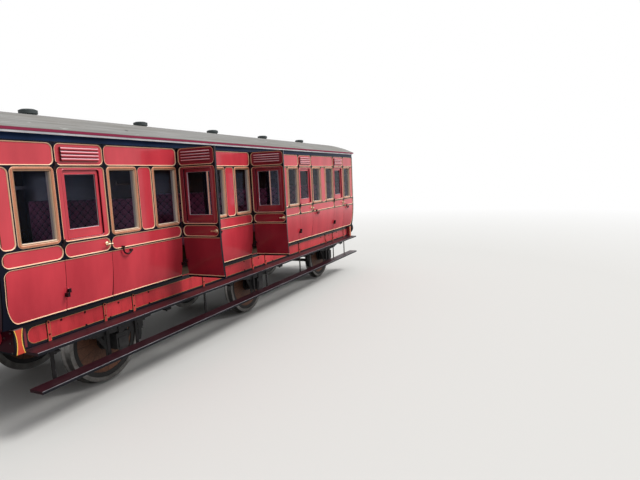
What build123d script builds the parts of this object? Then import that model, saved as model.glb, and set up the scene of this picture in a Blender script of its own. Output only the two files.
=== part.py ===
from build123d import *
import math
import os

# Six-wheeled compartment coach. X runs along the coach, Y across it and Z up, in millimetres.
# The wheel flanges touch Z = 0. The near side faces -Y. The far side is the near side turned half round.

os.makedirs("parts", exist_ok=True)

# Body shell
compartment_count = 5
compartment_pitch = 1905.0
end_margin = 77.5            # from the last compartment line to the outside of the end wall
half_width = 1219.0          # centreline to the face of the side panels
body_bottom = 1178.0
cornice_bottom = 3045.0
gutter_low = 3111.0
gutter_top = 3168.0
wall = 60.0
end_wall = 57.0
turn_start = 1787.0          # below this height the side curves inwards
turn_under = 64.0
floor_thick = 60.0
partition_thick = 44.0
bead_proud = 8.0             # the mouldings stand this far off the panels
seat_gap = 0.3               # clearance where one piece seats on another

# Roof
roof_projection = 50.0       # the roof's edge outside the panel face
roof_rise = 293.0
roof_thick = 30.0
roof_overhang = 30.0
gutter_inset = 4.0           # the gutter's face inside the roof's edge
cornice_low_proud = 12.0
cornice_high_proud = 22.0
cove_depth = 5.0

# Doors
door_width = 638.0
door_thick = 50.0
door_gap = 5.0
door_bevel = 9.0             # the free edge slants so that it clears its jamb as it swings
hinge_stand = 18.0           # hinge line outside the panel face
hinge_heights = (1406.0, 1953.0, 2785.0)
hinge_leaf = 22.0
leaf_thick = 6.0
knuckle_radius = 7.0
knuckle_length = 44.0
hinge_sink = 4.0             # the leaf's foot runs this far into the door
handle_x = 262.0
handle_height = 1864.0
handle_stand = 44.0
handle_inner = 55.0          # the bar reaches further towards the door's middle than to its edge
handle_outer = 45.0
handle_radius = 9.0
spindle_radius = 8.0
spindle_sink = 1.0           # the spindle runs this far into the door
open_angles = {("near", 2): 90.0, ("near", 3): 85.0}

# Heights of the panelling, shared by sides and doors
lower_low = 1208.0
lower_high = 1769.0
waist_low = 1787.0
waist_high = 1942.0
window_low = 1965.0
window_high = 2775.0
eaves_low = 2795.0
eaves_high = 3028.0
panel_half = 307.5           # half the width of a door's panels
panel_margin = 8.0           # moulding between a doorway and the eaves or waist panel
window_near = 348.0          # door centre to the near and far edges of a quarter window
window_far = 815.0
narrow_half = 116.0          # half the narrow panel between two quarter windows
corner_margin = 36.0         # moulding at the body's corners
eaves_radius = 62.0
waist_radius = 72.0
narrow_radius = 58.0
window_radius = 48.0
lower_radius = 75.0

# Panelling of the ends: two rows of four panels
end_bead = 44.0              # width of the mouldings between the panels
end_edge = 109.0             # panel face of the side to the outer end panels
end_split = 560.0            # centreline to the moulding between the inner and outer panels
end_waist = 1935.0
end_crown = 70.0             # from the roof's underside down to the panels
end_radius = 40.0

# Quarter windows and droplights
frame_proud = 14.0
frame_step = 26.0            # width of the frame's raised outer part
frame_step_proud = 6.0       # the inner part stands this far off the panel
frame_rebate = 30.0          # the hole in the side lies this far inside the frame's edge
frame_width = 42.0
glass_thick = 6.0
glass_inset = 24.0
droplight_half = 242.0
droplight_low = 1985.0
droplight_high = 2745.0
droplight_depth = 20.0
droplight_radius = 30.0
sash_thick = 16.0            # the droplight's wood in front of its glass
pane_half = 200.0
pane_low = 2090.0
pane_high = 2695.0

# Louvred ventilator above each droplight
louvre_half = 245.0
louvre_low = 2836.0
louvre_high = 2990.0
louvre_count = 4
louvre_base = 12.0
louvre_rib = 17.0
louvre_groove = 6.5          # between two ribs
louvre_overlap = 1.0         # hood and ribs run this far into what carries them

# Grab handle to the right of each door: a half ring hanging from two bosses, its right end lower
grab_x = 543.0
grab_height = 1770.0
grab_ring = 68.0
grab_tilt = 26.0
grab_stand = 30.0            # ring's middle outside the panel face
grab_radius = 10.0
boss_radius = 12.0

# Running gear
wheelbase_half = 3353.0
tread_radius = 546.0
flange_height = 28.0
flange_lip = 5.0
# columns: distance in from the tyre's back at the flange's tip, its root and the tread's start
flange_steps = (8.0, 20.0, 36.0)
tyre_thick = 57.0
tyre_width = 127.0
back_to_back = 1360.0
disc_thick = 86.0
hub_radius = 128.0
hub_outer = 40.0
hub_inner = 20.0
ring_width = 60.0            # retaining rings that hold the wooden disc in the tyre
ring_proud = 8.0
axle_radius = 66.0
journal_radius = 46.0
journal_reach = 73.0         # journal's end outside the axleguard
journal_tip = 20.0           # hidden in the axlebox

# Underframe
sole_inset = 120.0           # panel face of the side to the solebar's face
sole_bottom = 900.0
sole_top = 1165.0
sole_thick = 110.0
headstock_setback = 97.0     # the body overhangs the headstock
headstock_thick = 98.0
headstock_inset = 53.0
member_thick = 76.0
member_depth = 200.0
longitudinal_y = 192.0
bearer_offset = 640.0        # cross bearers stand this far each side of an axle

# Axleguards and axleboxes
guard_thick = 13.0
guard_slot = 96.0
guard_leg = 75.0
guard_drop = 170.0           # axle centre to the foot of the guard
guard_foot_rise = 60.0       # the legs widen from this far below the axle centre
guard_slot_rise = 250.0
guard_wing = 520.0
guard_wing_low = 430.0
guard_stay = 28.0
guard_web = 20.0
box_clearance = 1.0
box_drop = 110.0
box_rise = 125.0
box_inner = 16.0             # axlebox to wheel hub
box_outer = 38.0             # axlebox beyond the journal's end
lid_thick = 12.0
lid_half = 70.0

# Springs and their hangers
spring_offset = 48.0         # spring's middle outside the axleguard
spring_half = 860.0
spring_width = 90.0
spring_sag = 70.0
spring_lift = 24.0           # from the axlebox to the lowest leaf
leaf_count = 5
spring_leaf = 16.0
shortest_leaf = 0.36
buckle_half = 45.0
buckle_proud = 12.0
hanger_gap = 26.0            # leaf's end to the hanger bolt
hanger_drop = 130.0          # leaf's end down to the scroll iron's eye
hanger_width = 80.0
hanger_eye = 22.0
hanger_foot = 18.0
hanger_outer = (52.0, 86.0, 150.0)   # outer curve: reach at the eye, part way up and at the foot
hanger_inner = (70.0, 42.0, 30.0)    # inner curve: reach under the solebar, part way and at the eye
hanger_bend = (0.52, 0.59)           # height of the outer and inner middle points, as parts of the rise
hanger_toe = 200.0                   # end of the foot under the solebar
hanger_lug = 40.0                    # the eye reaches this far towards the axle
hanger_hook = 60.0
bolt_radius = 13.0
bolt_tip = 2.0

# Footboards
board_thick = 32.0
upper_board_top = 910.0
lower_board_top = 500.0
board_reach = 130.0          # outer edge outside the panel face
upper_board_gap = 17.0
lower_board_gap = 51.0
iron_width = 40.0
iron_thick = 12.0
iron_offset = 230.0          # irons stand this far each side of an axle
iron_top_gap = 25.0
end_iron_setback = 414.0     # headstock face to the last iron
arm_setback = 30.0

# Buffers
buffer_spacing_half = 870.0
buffer_height = 1069.0
buffer_length = 510.0
buffer_ram_radius = 44.0
buffer_housing_length = 290.0
buffer_base_radius = 94.0
buffer_base_thick = 22.0
buffer_neck = (82.0, 64.0)   # housing's radius at its root and its mouth
buffer_ram_start = 30.0
# columns: radius, distance back from the face
buffer_rim = ((44.0, 50.0), (178.0, 26.0), (178.0, 14.0), (60.0, 0.0))

# Drawhooks and screw couplings
hook_drop = 10.0             # drawhook's centre below the buffers
hook_plate = 110.0
hook_plate_thick = 18.0
hook_thick = 48.0
coupling_x = 120.0
coupling_half = 62.0
link_radius = 14.0
shackle_length = 190.0
screw_length = 240.0
screw_radius = 20.0
nut_radius = 24.0
bail_length = 170.0
hook_plate_half = 75.0
nut_cover = 40.0             # the screw runs this far into each nut
# columns: distance from the headstock, height from the drawhook's centre
hook_jaw = ((150.0, -30.0), (212.0, -10.0), (232.0, 46.0))
hook_throat = ((212.0, 66.0), (196.0, 36.0), (164.0, 28.0))

# Vacuum brake
pipe_radius = 26.0
pipe_bend = 65.0
pipe_y = 330.0
pipe_leg = 85.0
pipe_low = 90.0              # the pipe starts this far below the solebar
pipe_clear = 12.0
pipe_clip_half = 45.0
pipe_clip_depth = 40.0
cylinder_y = -430.0
cylinder_radius = 240.0
cylinder_length = 330.0
block_clearance = 8.0
block_thick = 62.0
block_half = 190.0
block_width = 80.0
block_offset = 84.7          # block's middle outside the tyre's back
beam_offset = 98.0           # brake beam beyond the tread
beam_drop = 20.0
beam_size = 60.0
beam_half = 760.0
hanger_bar = 28.0
rod_y = 110.0
rod_drop = 130.0
rod_radius = 18.0

# Steps and handrails on one end, for reaching the roof
step_count = 4
step_first = 1450.0
step_pitch = 440.0
step_thick = 16.0
step_reach = 130.0
step_near = 700.0
step_far = 960.0
rail_radius = 11.0
rail_stand = 60.0
rail_places = (625.0, 1060.0)
rail_low = 1710.0
rail_high = 3070.0
rail_tail = 10.0

# Lamp tops, benches and racks
lamp_x = 320.0               # from the compartment's middle
lamp_y = 0.0
lamp_lift = 10.0             # foot's top above the roof
lamp_radius = 110.0
lamp_rise = 86.0
lamp_neck = 92.0
lamp_neck_rise = 28.0
lamp_brim = 44.0
lamp_crown = 78.0
lamp_foot = 100.0
lamp_foot_sink = 40.0
seat_depth = 500.0
seat_toe = 40.0
seat_base_height = 300.0
cushion_thick = 130.0
back_thick = 95.0
back_height = 720.0
seat_side_gap = 40.0
rack_height = 1330.0
rack_depth = 300.0
rack_thick = 18.0
rack_lip = 30.0

# Values worked out from those above
body_half = compartment_count * compartment_pitch / 2 + end_margin
door_centres = [(k - (compartment_count - 1) / 2) * compartment_pitch for k in range(compartment_count)]
turn_drop = turn_start - body_bottom
turn_radius = (turn_drop ** 2 + turn_under ** 2) / (2 * turn_under)
doorway_half = door_width / 2 + door_gap
floor_bottom = sole_top
floor_top = floor_bottom + floor_thick
roof_half_width = half_width + roof_projection
roof_radius = (roof_half_width ** 2 + roof_rise ** 2) / (2 * roof_rise)
roof_centre = gutter_top + roof_rise - roof_radius
hinge_x = -doorway_half + door_gap / 2
hinge_y = -(half_width + hinge_stand)
cell_in = half_width - turn_under - wall
cell_out = half_width + 2 * frame_proud
axle_height = tread_radius + flange_height
axle_places = (-wheelbase_half, 0.0, wheelbase_half)
half_gauge = back_to_back / 2
disc_in = half_gauge + (tyre_width - disc_thick) / 2
disc_out = disc_in + disc_thick
sole_face = half_width - sole_inset
sole_inner = sole_face - sole_thick
headstock_face = body_half - headstock_setback
headstock_half = half_width - headstock_inset
sole_half = headstock_face - headstock_thick
member_low = sole_top - member_depth
journal_end = sole_inner + journal_reach
spring_y = sole_inner + spring_offset
board_outer = half_width + board_reach


def save(name, *solids):
    """Write one node."""
    export_step(Compound(children=list(solids)), f"parts/{name}.step")


def box(x0, x1, y0, y1, z0, z1):
    """Box between two corners, given in either order."""
    middle = Pos((x0 + x1) / 2, (y0 + y1) / 2, (z0 + z1) / 2)
    return middle * Box(abs(x1 - x0), abs(y1 - y0), abs(z1 - z0))


def rod(start, end, radius):
    """Round bar between two points."""
    a, b = Vector(*start), Vector(*end)
    return Solid.make_cylinder(radius, (b - a).length, Plane(origin=a, z_dir=(b - a)))


def turned(profile, axis):
    """Solid of revolution from (radius, distance along the axis) points, about Y or Z."""
    if axis == Axis.Y:
        points = [(r, along, 0) for r, along in profile]
    else:
        points = [(r, 0, along) for r, along in profile]
    return revolve(make_face(Polyline(*points, close=True)), axis)


def extruded(points, plane, amount):
    """Plate with a straight-edged outline drawn on a plane."""
    return extrude(plane * make_face(Polyline(*points, close=True)), amount=amount)


def fused(pieces):
    """One solid from pieces that run into each other."""
    whole = pieces[0]
    for piece in pieces[1:]:
        whole = whole + piece
    return whole


def opposite(solid):
    """The same piece on the other side: half a turn about the coach's middle."""
    return solid.rotate(Axis.Z, 180)


def both(pieces):
    """Near-side pieces and their far-side copies."""
    return pieces + [opposite(piece) for piece in pieces]


def side_y(z, inset=0.0):
    """Distance from the centreline to the side at height z, `inset` behind the panel face."""
    drop = max(0.0, turn_start - z)
    return half_width - turn_radius + math.sqrt((turn_radius - inset) ** 2 - drop ** 2)


def side_line(inset, z_low, z_high):
    """Edges of the near side's section, from the bottom up: an arc below the waist, then a line."""
    edges = []
    bend = min(z_high, turn_start)
    if z_low < bend:
        middle = (z_low + bend) / 2
        points = [(0, -side_y(z, inset), z) for z in (z_low, middle, bend)]
        edges.append(Edge.make_three_point_arc(*points))
    else:
        bend = z_low
    if z_high > bend:
        edges.append(Edge.make_line((0, -side_y(bend, inset), bend), (0, -side_y(z_high, inset), z_high)))
    return edges


def side_slab(x0, x1, z0, z1, inset_out, inset_in):
    """Piece of the near side between two depths, following its curve."""
    outer = side_line(inset_out, z0, z1)
    inner = side_line(inset_in, z0, z1)
    ends = [Edge.make_line((0, -side_y(z, inset_out), z), (0, -side_y(z, inset_in), z)) for z in (z0, z1)]
    face = Face(Wire(outer + inner + ends))
    return Pos(x0, 0, 0) * extrude(face, amount=x1 - x0, dir=(1, 0, 0))


def window_prism(x0, x1, z0, z1, radius, y_in, y_out):
    """Rounded opening through the near side, between two distances from the centreline."""
    plane = Plane(((x0 + x1) / 2, -y_in, (z0 + z1) / 2), x_dir=(1, 0, 0), z_dir=(0, -1, 0))
    outline = RectangleRounded(x1 - x0, z1 - z0, radius) if radius else Rectangle(x1 - x0, z1 - z0)
    return extrude(plane * outline, amount=y_out - y_in)


def bays():
    """Stretches of the near side between doorways: (x0, x1, open at the left, open at the right)."""
    found = [(-body_half, door_centres[0] - doorway_half, False, True)]
    for left, right in zip(door_centres, door_centres[1:]):
        found.append((left + doorway_half, right - doorway_half, True, True))
    found.append((door_centres[-1] + doorway_half, body_half, True, False))
    return found


def quarter_windows():
    """The x ranges of the near side's quarter windows, two beside each door."""
    found = []
    for centre in door_centres:
        found.append((centre - window_far, centre - window_near))
        found.append((centre + window_near, centre + window_far))
    return found


def drawn_in(a, b, inset):
    """A quarter window's x and z ranges, drawn in on all four sides."""
    return a + inset, b - inset, window_low + inset, window_high - inset


def bay_cells(bay):
    """Panel cells of one bay: (x0, x1, z0, z1, corner radius)."""
    x0, x1, open_left, open_right = bay
    left = x0 + (panel_margin if open_left else corner_margin)
    right = x1 - (panel_margin if open_right else corner_margin)
    beyond = 2 * lower_radius
    lower_left = x0 - beyond if open_left else x0 + corner_margin
    lower_right = x1 + beyond if open_right else x1 - corner_margin
    cells = [(left, right, eaves_low, eaves_high, eaves_radius),
             (left, right, waist_low, waist_high, waist_radius),
             (lower_left, lower_right, lower_low, lower_high, lower_radius)]
    for a, b in quarter_windows():
        if x0 < a < x1:
            cells.append((a, b, window_low, window_high, window_radius))
    if open_left and open_right:
        middle = (x0 + x1) / 2
        narrow = (middle - narrow_half, middle + narrow_half)
    elif open_right:
        narrow = (x0 + corner_margin, door_centres[0] - compartment_pitch / 2 + narrow_half)
    else:
        narrow = (door_centres[-1] + compartment_pitch / 2 - narrow_half, x1 - corner_margin)
    cells.append((*narrow, window_low, window_high, narrow_radius))
    return cells


def roof_z(y, inset=0.0):
    """Height of the roof's outer face at distance y from the centreline."""
    return roof_centre + math.sqrt((roof_radius - inset) ** 2 - y ** 2)


# Sides, with their quarter windows and doorways cut
def near_side():
    side = side_slab(-body_half + end_wall + seat_gap, body_half - end_wall - seat_gap,
                     body_bottom, cornice_bottom, 0, wall)
    cuts = [box(c - doorway_half, c + doorway_half, -cell_out, -cell_in, 0, cornice_bottom - door_gap)
            for c in door_centres]
    for a, b in quarter_windows():
        cuts.append(window_prism(*drawn_in(a, b, frame_rebate), 0, cell_in, cell_out))
    return side - cuts


side = near_side()
save("side_near", side)
save("side_far", opposite(side))


# Raised mouldings: one lattice to each bay
def lattice(bay):
    """Sheet over a bay, as thick as the mouldings, with its panels cut out."""
    sheet = side_slab(bay[0], bay[1], body_bottom, cornice_bottom, -bead_proud, 0)
    return sheet - [window_prism(*cell, cell_in, cell_out) for cell in bay_cells(bay)]


save("beading", *both([lattice(bay) for bay in bays()]))


# Quarter windows: a stepped frame on the panel, lining its hole, and the pane in it
def window_frame(a, b):
    edge = drawn_in(a, b, seat_gap)
    moulding = window_prism(*edge, window_radius, half_width, half_width + frame_proud)
    step = window_prism(*drawn_in(a, b, frame_step), window_radius - frame_step,
                        half_width + frame_step_proud, cell_out)
    lining = window_prism(*drawn_in(a, b, frame_rebate + seat_gap), 0, half_width - wall, half_width)
    light = window_prism(*drawn_in(a, b, frame_width), 0, cell_in, cell_out)
    return moulding - step + lining - light


def window_pane(a, b):
    face = half_width - glass_inset
    return window_prism(*drawn_in(a, b, frame_width + seat_gap), 0, face - glass_thick, face)


save("window_frames", *both([window_frame(a, b) for a, b in quarter_windows()]))
save("window_glass", *both([window_pane(a, b) for a, b in quarter_windows()]))


# Doors: curved to the side and panelled, with a louvred ventilator above the droplight
def hinge_half(height, sign):
    """Knuckle and leaf of one hinge: sign 1 on the door, -1 on the body, one above the other."""
    centre = height + sign * knuckle_length / 2
    top = centre + knuckle_length / 2 - seat_gap / 2
    bottom = centre - knuckle_length / 2 + seat_gap / 2
    near = hinge_x + sign * (door_gap / 2 + leaf_thick)
    far = hinge_x + sign * (door_gap / 2 + hinge_leaf)
    outer = hinge_y - leaf_thick / 2
    knuckle = rod((hinge_x, hinge_y, bottom), (hinge_x, hinge_y, top), knuckle_radius)
    strap = box(hinge_x, far, outer, outer + leaf_thick, bottom, top)
    pad = box(near, far, outer, -side_y(height) + hinge_sink, bottom, top)
    half = knuckle + strap + pad
    if sign < 0:
        seat = -bead_proud if height > waist_high else -seat_gap
        half = half - side_slab(far - hinge_leaf, hinge_x, bottom - door_gap, top + door_gap, seat, wall)
    return half


def ventilator():
    """Shallow hood with half-round ribs one above the other."""
    pitch = (louvre_high - louvre_low) / louvre_count
    root = half_width + louvre_base - louvre_overlap
    pieces = [window_prism(-louvre_half, louvre_half, louvre_low, louvre_high, 0, half_width - louvre_overlap,
                           half_width + louvre_base)]
    for k in range(louvre_count):
        low = louvre_low + k * pitch + louvre_groove / 2
        high = low + pitch - louvre_groove
        nose = Edge.make_three_point_arc((0, -root, low), (0, -root - louvre_rib, (low + high) / 2),
                                         (0, -root, high))
        face = Face(Wire([nose, Edge.make_line((0, -root, high), (0, -root, low))]))
        pieces.append(Pos(-louvre_half, 0, 0) * extrude(face, amount=2 * louvre_half, dir=(1, 0, 0)))
    return fused(pieces)


def near_door():
    """A closed near door about its own middle."""
    half = door_width / 2
    top = cornice_bottom - 2 * door_gap
    bead = side_slab(-half, half, body_bottom, top, -bead_proud, 0)
    cells = [(-panel_half, panel_half, eaves_low, eaves_high, eaves_radius),
             (-panel_half, panel_half, window_low, window_high, window_radius),
             (-panel_half, panel_half, waist_low, waist_high, waist_radius),
             (-half - 1, half + 1, lower_low, lower_high, 0)]
    bead = bead - [window_prism(*cell, cell_in, cell_out) for cell in cells]
    recess = window_prism(-droplight_half, droplight_half, droplight_low, droplight_high, droplight_radius,
                          half_width - droplight_depth, cell_out)
    light = window_prism(-pane_half, pane_half, pane_low, pane_high, 0, cell_in, cell_out)
    door = side_slab(-half, half, body_bottom, top, 0, door_thick) - recess - light + bead
    depth = half_width - cell_in
    slant = [(half, -half_width), (half + 1, -half_width), (half + 1, -cell_in),
             (half - door_bevel * depth / door_thick, -cell_in)]
    door = door - extruded(slant, Plane.XY, cornice_bottom)
    handle_root = -side_y(handle_height)
    bar_y = handle_root - handle_stand
    spindle = rod((handle_x, handle_root + spindle_sink, handle_height), (handle_x, bar_y, handle_height),
                  spindle_radius)
    bar = rod((handle_x - handle_inner, bar_y, handle_height), (handle_x + handle_outer, bar_y, handle_height),
              handle_radius)
    return fused([door, ventilator(), spindle, bar] + [hinge_half(height, 1) for height in hinge_heights])


door = near_door()
sash_face = half_width - droplight_depth - sash_thick
door_pane = window_prism(-pane_half + seat_gap, pane_half - seat_gap, pane_low + seat_gap, pane_high - seat_gap, 0,
                         sash_face - glass_thick, sash_face)
hinge_axis = Axis((hinge_x, hinge_y, 0), (0, 0, 1))
for number, centre in enumerate(door_centres, 1):
    angle = open_angles.get(("near", number), 0.0)
    for kind, piece in (("door", door), ("door_glass", door_pane)):
        save(f"{kind}_near_{number}", Pos(centre, 0, 0) * piece.rotate(hinge_axis, -angle))
        far_number = compartment_count + 1 - number
        save(f"{kind}_far_{far_number}", opposite(Pos(centre, 0, 0) * piece))


# The body's halves of the hinges, and the grab handles
def grab_handle():
    """Half ring that hangs clear of the side on two round bosses."""
    ring_y = -half_width - grab_stand
    along = math.cos(math.radians(grab_tilt))
    down = math.sin(math.radians(grab_tilt))
    right_end = (grab_x + grab_ring * along, ring_y, grab_height - grab_ring * down)
    section = Plane(right_end, z_dir=(-down, 0, -along)) * Circle(grab_radius)
    pieces = [revolve(section, Axis((grab_x, ring_y, grab_height), (0, 1, 0)), 180)]
    for s in (-1, 1):
        x = grab_x + s * grab_ring * along
        z = grab_height - s * grab_ring * down
        pieces.append(rod((x, -side_y(z + boss_radius), z), (x, ring_y - grab_radius, z), boss_radius))
    return fused(pieces)


ironwork = [hinge_half(height, -1) for height in hinge_heights] + [grab_handle()]
save("door_ironwork", *both([Pos(centre, 0, 0) * piece for centre in door_centres for piece in ironwork]))


# End walls and partitions follow the roof's curve
def cross_wall(x0, x1, side_inset, z_low, top_gap):
    """Wall across the coach that fills its section, inset from the sides and under the roof."""
    right = [(0, side_y(z, side_inset), z) for z in (z_low, (z_low + turn_start) / 2, turn_start)]
    left = [(0, -y, z) for _, y, z in right]
    y_top = side_y(cornice_bottom, side_inset)
    z_top = roof_z(y_top, roof_thick + top_gap)
    crown = roof_z(0, roof_thick + top_gap)
    edges = [Edge.make_three_point_arc(*right), Edge.make_line(right[2], (0, y_top, z_top)),
             Edge.make_three_point_arc((0, y_top, z_top), (0, 0, crown), (0, -y_top, z_top)),
             Edge.make_line((0, -y_top, z_top), left[2]), Edge.make_three_point_arc(*left),
             Edge.make_line(left[0], right[0])]
    return Pos(x0, 0, 0) * extrude(Face(Wire(edges)), amount=x1 - x0, dir=(1, 0, 0))


def right_end():
    """End wall with its mouldings: two rows of four panels, the upper ones reaching up under the roof."""
    wall_sheet = cross_wall(body_half - end_wall, body_half, 0, body_bottom, seat_gap)
    mouldings = cross_wall(body_half, body_half + bead_proud, 0, body_bottom, seat_gap)
    columns = [(end_bead / 2, end_split - end_bead / 2), (end_split + end_bead / 2, half_width - end_edge)]
    cuts = []
    for near, far in columns:
        crown = roof_z(far, roof_thick) - end_crown
        for low, high in ((lower_low, end_waist - end_bead / 2), (end_waist + end_bead / 2, crown)):
            plane = Plane((body_half, (near + far) / 2, (low + high) / 2), x_dir=(0, 1, 0), z_dir=(1, 0, 0))
            panel = extrude(plane * RectangleRounded(far - near, high - low, end_radius), amount=bead_proud + 1)
            cuts += [panel, mirror(panel, Plane.XZ)]
    return wall_sheet + (mouldings - cuts)


end = right_end()
save("end_right", end)
save("end_left", opposite(end))
walls = []
for left, right in zip(door_centres, door_centres[1:]):
    middle = (left + right) / 2
    walls.append(cross_wall(middle - partition_thick / 2, middle + partition_thick / 2,
                            wall + seat_gap, floor_top, seat_gap))
save("partitions", *walls)

# Floor
floor_half = side_y(body_bottom, wall) - seat_gap
save("floor", box(-body_half + end_wall + seat_gap, body_half - end_wall - seat_gap,
                  -floor_half, floor_half, floor_bottom, floor_top))


# Roof: a single arc from edge to edge
def roof_arc(inset):
    """Edge of the roof's section, from the near side to the far one."""
    low = roof_z(roof_half_width, inset)
    return Edge.make_three_point_arc((0, -roof_half_width, low), (0, 0, roof_z(0, inset)), (0, roof_half_width, low))


roof_edges = [roof_arc(0.0), roof_arc(roof_thick)]
for sign in (-1, 1):
    roof_edges.append(Edge.make_line((0, sign * roof_half_width, roof_z(roof_half_width)),
                                     (0, sign * roof_half_width, roof_z(roof_half_width, roof_thick))))
roof_half_length = body_half + roof_overhang
save("roof", Pos(-roof_half_length, 0, 0) * extrude(Face(Wire(roof_edges)), amount=2 * roof_half_length,
                                                    dir=(1, 0, 0)))


# Cornice with a shallow cove, and the gutter above it, from the side's top up to the roof
def near_cornice():
    back = side_y(cornice_bottom, wall)
    gutter_out = roof_half_width - gutter_inset
    low = (0, -half_width - cornice_low_proud, cornice_bottom)
    high = (0, -half_width - cornice_high_proud, gutter_low)
    cove = (0, (low[1] + high[1]) / 2 + cove_depth, (cornice_bottom + gutter_low) / 2)
    corners = [high, (0, -gutter_out, gutter_low), (0, -gutter_out, roof_z(gutter_out, roof_thick) - seat_gap),
               (0, -back, roof_z(back, roof_thick) - seat_gap), (0, -back, cornice_bottom), low]
    edges = [Edge.make_three_point_arc(low, cove, high)]
    edges += [Edge.make_line(a, b) for a, b in zip(corners, corners[1:])]
    half = body_half - end_wall - seat_gap
    return Pos(-half, 0, 0) * extrude(Face(Wire(edges)), amount=2 * half, dir=(1, 0, 0))


save("cornices", *both([near_cornice()]))


# Lamp tops, one over each compartment, cut to the roof's curve
def lamp_top():
    profile = [(0, -lamp_foot_sink), (lamp_foot, -lamp_foot_sink), (lamp_foot, 0), (lamp_neck, 0),
               (lamp_neck, lamp_neck_rise), (lamp_radius, lamp_neck_rise),
               (lamp_radius, lamp_neck_rise + lamp_brim), (lamp_crown, lamp_rise), (0, lamp_rise)]
    lamp = Pos(lamp_x, lamp_y, roof_z(lamp_y) + lamp_lift) * turned(profile, Axis.Z)
    under = [roof_arc(0.0)]
    corners = [(0, roof_half_width, roof_z(roof_half_width)), (0, roof_half_width, cornice_bottom),
               (0, -roof_half_width, cornice_bottom), (0, -roof_half_width, roof_z(roof_half_width))]
    under += [Edge.make_line(a, b) for a, b in zip(corners, corners[1:])]
    inside = extrude(Face(Wire(under)), amount=4 * lamp_radius, dir=(1, 0, 0))
    return lamp - Pos(lamp_x - 2 * lamp_radius, 0, seat_gap) * inside


lamp = lamp_top()
save("lamp_tops", *[Pos(centre, 0, 0) * lamp for centre in door_centres])

# Benches: a base, a cushion, a padded back and a rack against each compartment's end
seat_half = side_y(body_bottom, wall) - seat_side_gap
cushion_low = floor_top + seat_base_height + seat_gap
back_low = cushion_low + cushion_thick + seat_gap
rack_low = floor_top + rack_height
benches = {"seat_bases": [], "seat_cushions": [], "seat_backs": [], "luggage_racks": []}
for index, centre in enumerate(door_centres):
    for sign in (-1, 1):
        outer = centre + sign * (compartment_pitch - partition_thick) / 2
        if (index == 0 and sign < 0) or (index == compartment_count - 1 and sign > 0):
            outer = sign * (body_half - end_wall)
        # columns: node, start and end of the depth from the partition, lowest, highest
        for node, near, far, low, high in (
                ("seat_bases", 0, seat_depth - seat_toe, floor_top, floor_top + seat_base_height),
                ("seat_cushions", seat_gap, seat_depth, cushion_low, cushion_low + cushion_thick),
                ("seat_backs", seat_gap, back_thick, back_low, back_low + back_height)):
            benches[node].append(box(outer - sign * near, outer - sign * far, -seat_half, seat_half, low, high))
        rack_edge = outer - sign * rack_depth
        shelf = box(outer, rack_edge, -seat_half, seat_half, rack_low, rack_low + rack_thick)
        lip = box(rack_edge, rack_edge + sign * rack_thick, -seat_half, seat_half, rack_low,
                  rack_low + rack_thick + rack_lip)
        benches["luggage_racks"].append(shelf + lip)
for node, pieces in benches.items():
    save(node, *pieces)

# Solebars and headstocks
save("solebars", *[box(-sole_half, sole_half, s * sole_face, s * sole_inner, sole_bottom, sole_top)
                   for s in (-1, 1)])
save("headstocks", *[box(s * sole_half, s * headstock_face, -headstock_half, headstock_half, sole_bottom, sole_top)
                     for s in (-1, 1)])


# Two longitudinals from headstock to headstock, and cross bearers in three lengths fitted against them
def frame_members():
    near_y = longitudinal_y - member_thick / 2
    far_y = longitudinal_y + member_thick / 2
    pieces = [box(-sole_half, sole_half, s * near_y, s * far_y, member_low, sole_top) for s in (-1, 1)]
    lengths = [(-sole_inner, -far_y - seat_gap), (-near_y + seat_gap, near_y - seat_gap),
               (far_y + seat_gap, sole_inner)]
    inner = wheelbase_half - bearer_offset
    outer = wheelbase_half + bearer_offset
    for x in (-outer, -inner, -bearer_offset, bearer_offset, inner, outer):
        for y0, y1 in lengths:
            pieces.append(box(x - member_thick / 2, x + member_thick / 2, y0, y1, member_low, sole_top))
    return pieces


save("underframe_members", *frame_members())


# Axleguards: W-shaped plates behind the solebars, with a slot for the axlebox and a stay under it
def guard(x):
    """Plate drawn about its axle; each wing has an open triangle beside the leg."""
    leg = guard_slot + guard_leg
    foot = axle_height - guard_drop
    shoulder = axle_height - guard_foot_rise
    wing = sole_bottom - guard_web
    half = [(guard_wing, sole_top - guard_web), (guard_wing_low, wing), (leg, shoulder), (leg, foot),
            (guard_slot, foot), (guard_slot, axle_height + guard_slot_rise)]
    outline = half + [(-u, z) for u, z in reversed(half)]
    plane = Plane((x, -sole_inner, 0), x_dir=(1, 0, 0), z_dir=(0, -1, 0))
    plate = extruded(outline, plane, -guard_thick)
    slope = (guard_wing_low - leg) / (wing - shoulder)
    low = shoulder + guard_leg * 1.6
    high = wing - guard_web
    near = leg + guard_web
    for s in (-1, 1):
        triangle = [(s * near, low), (s * near, high), (s * (near + slope * (high - low)), high)]
        plate = plate - extruded(triangle, plane, -guard_thick)
    stay = box(x - leg, x + leg, -sole_inner, -sole_inner + guard_thick, foot, foot + guard_stay)
    return plate + stay


save("axleguards", *both([guard(x) for x in axle_places]))


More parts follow.
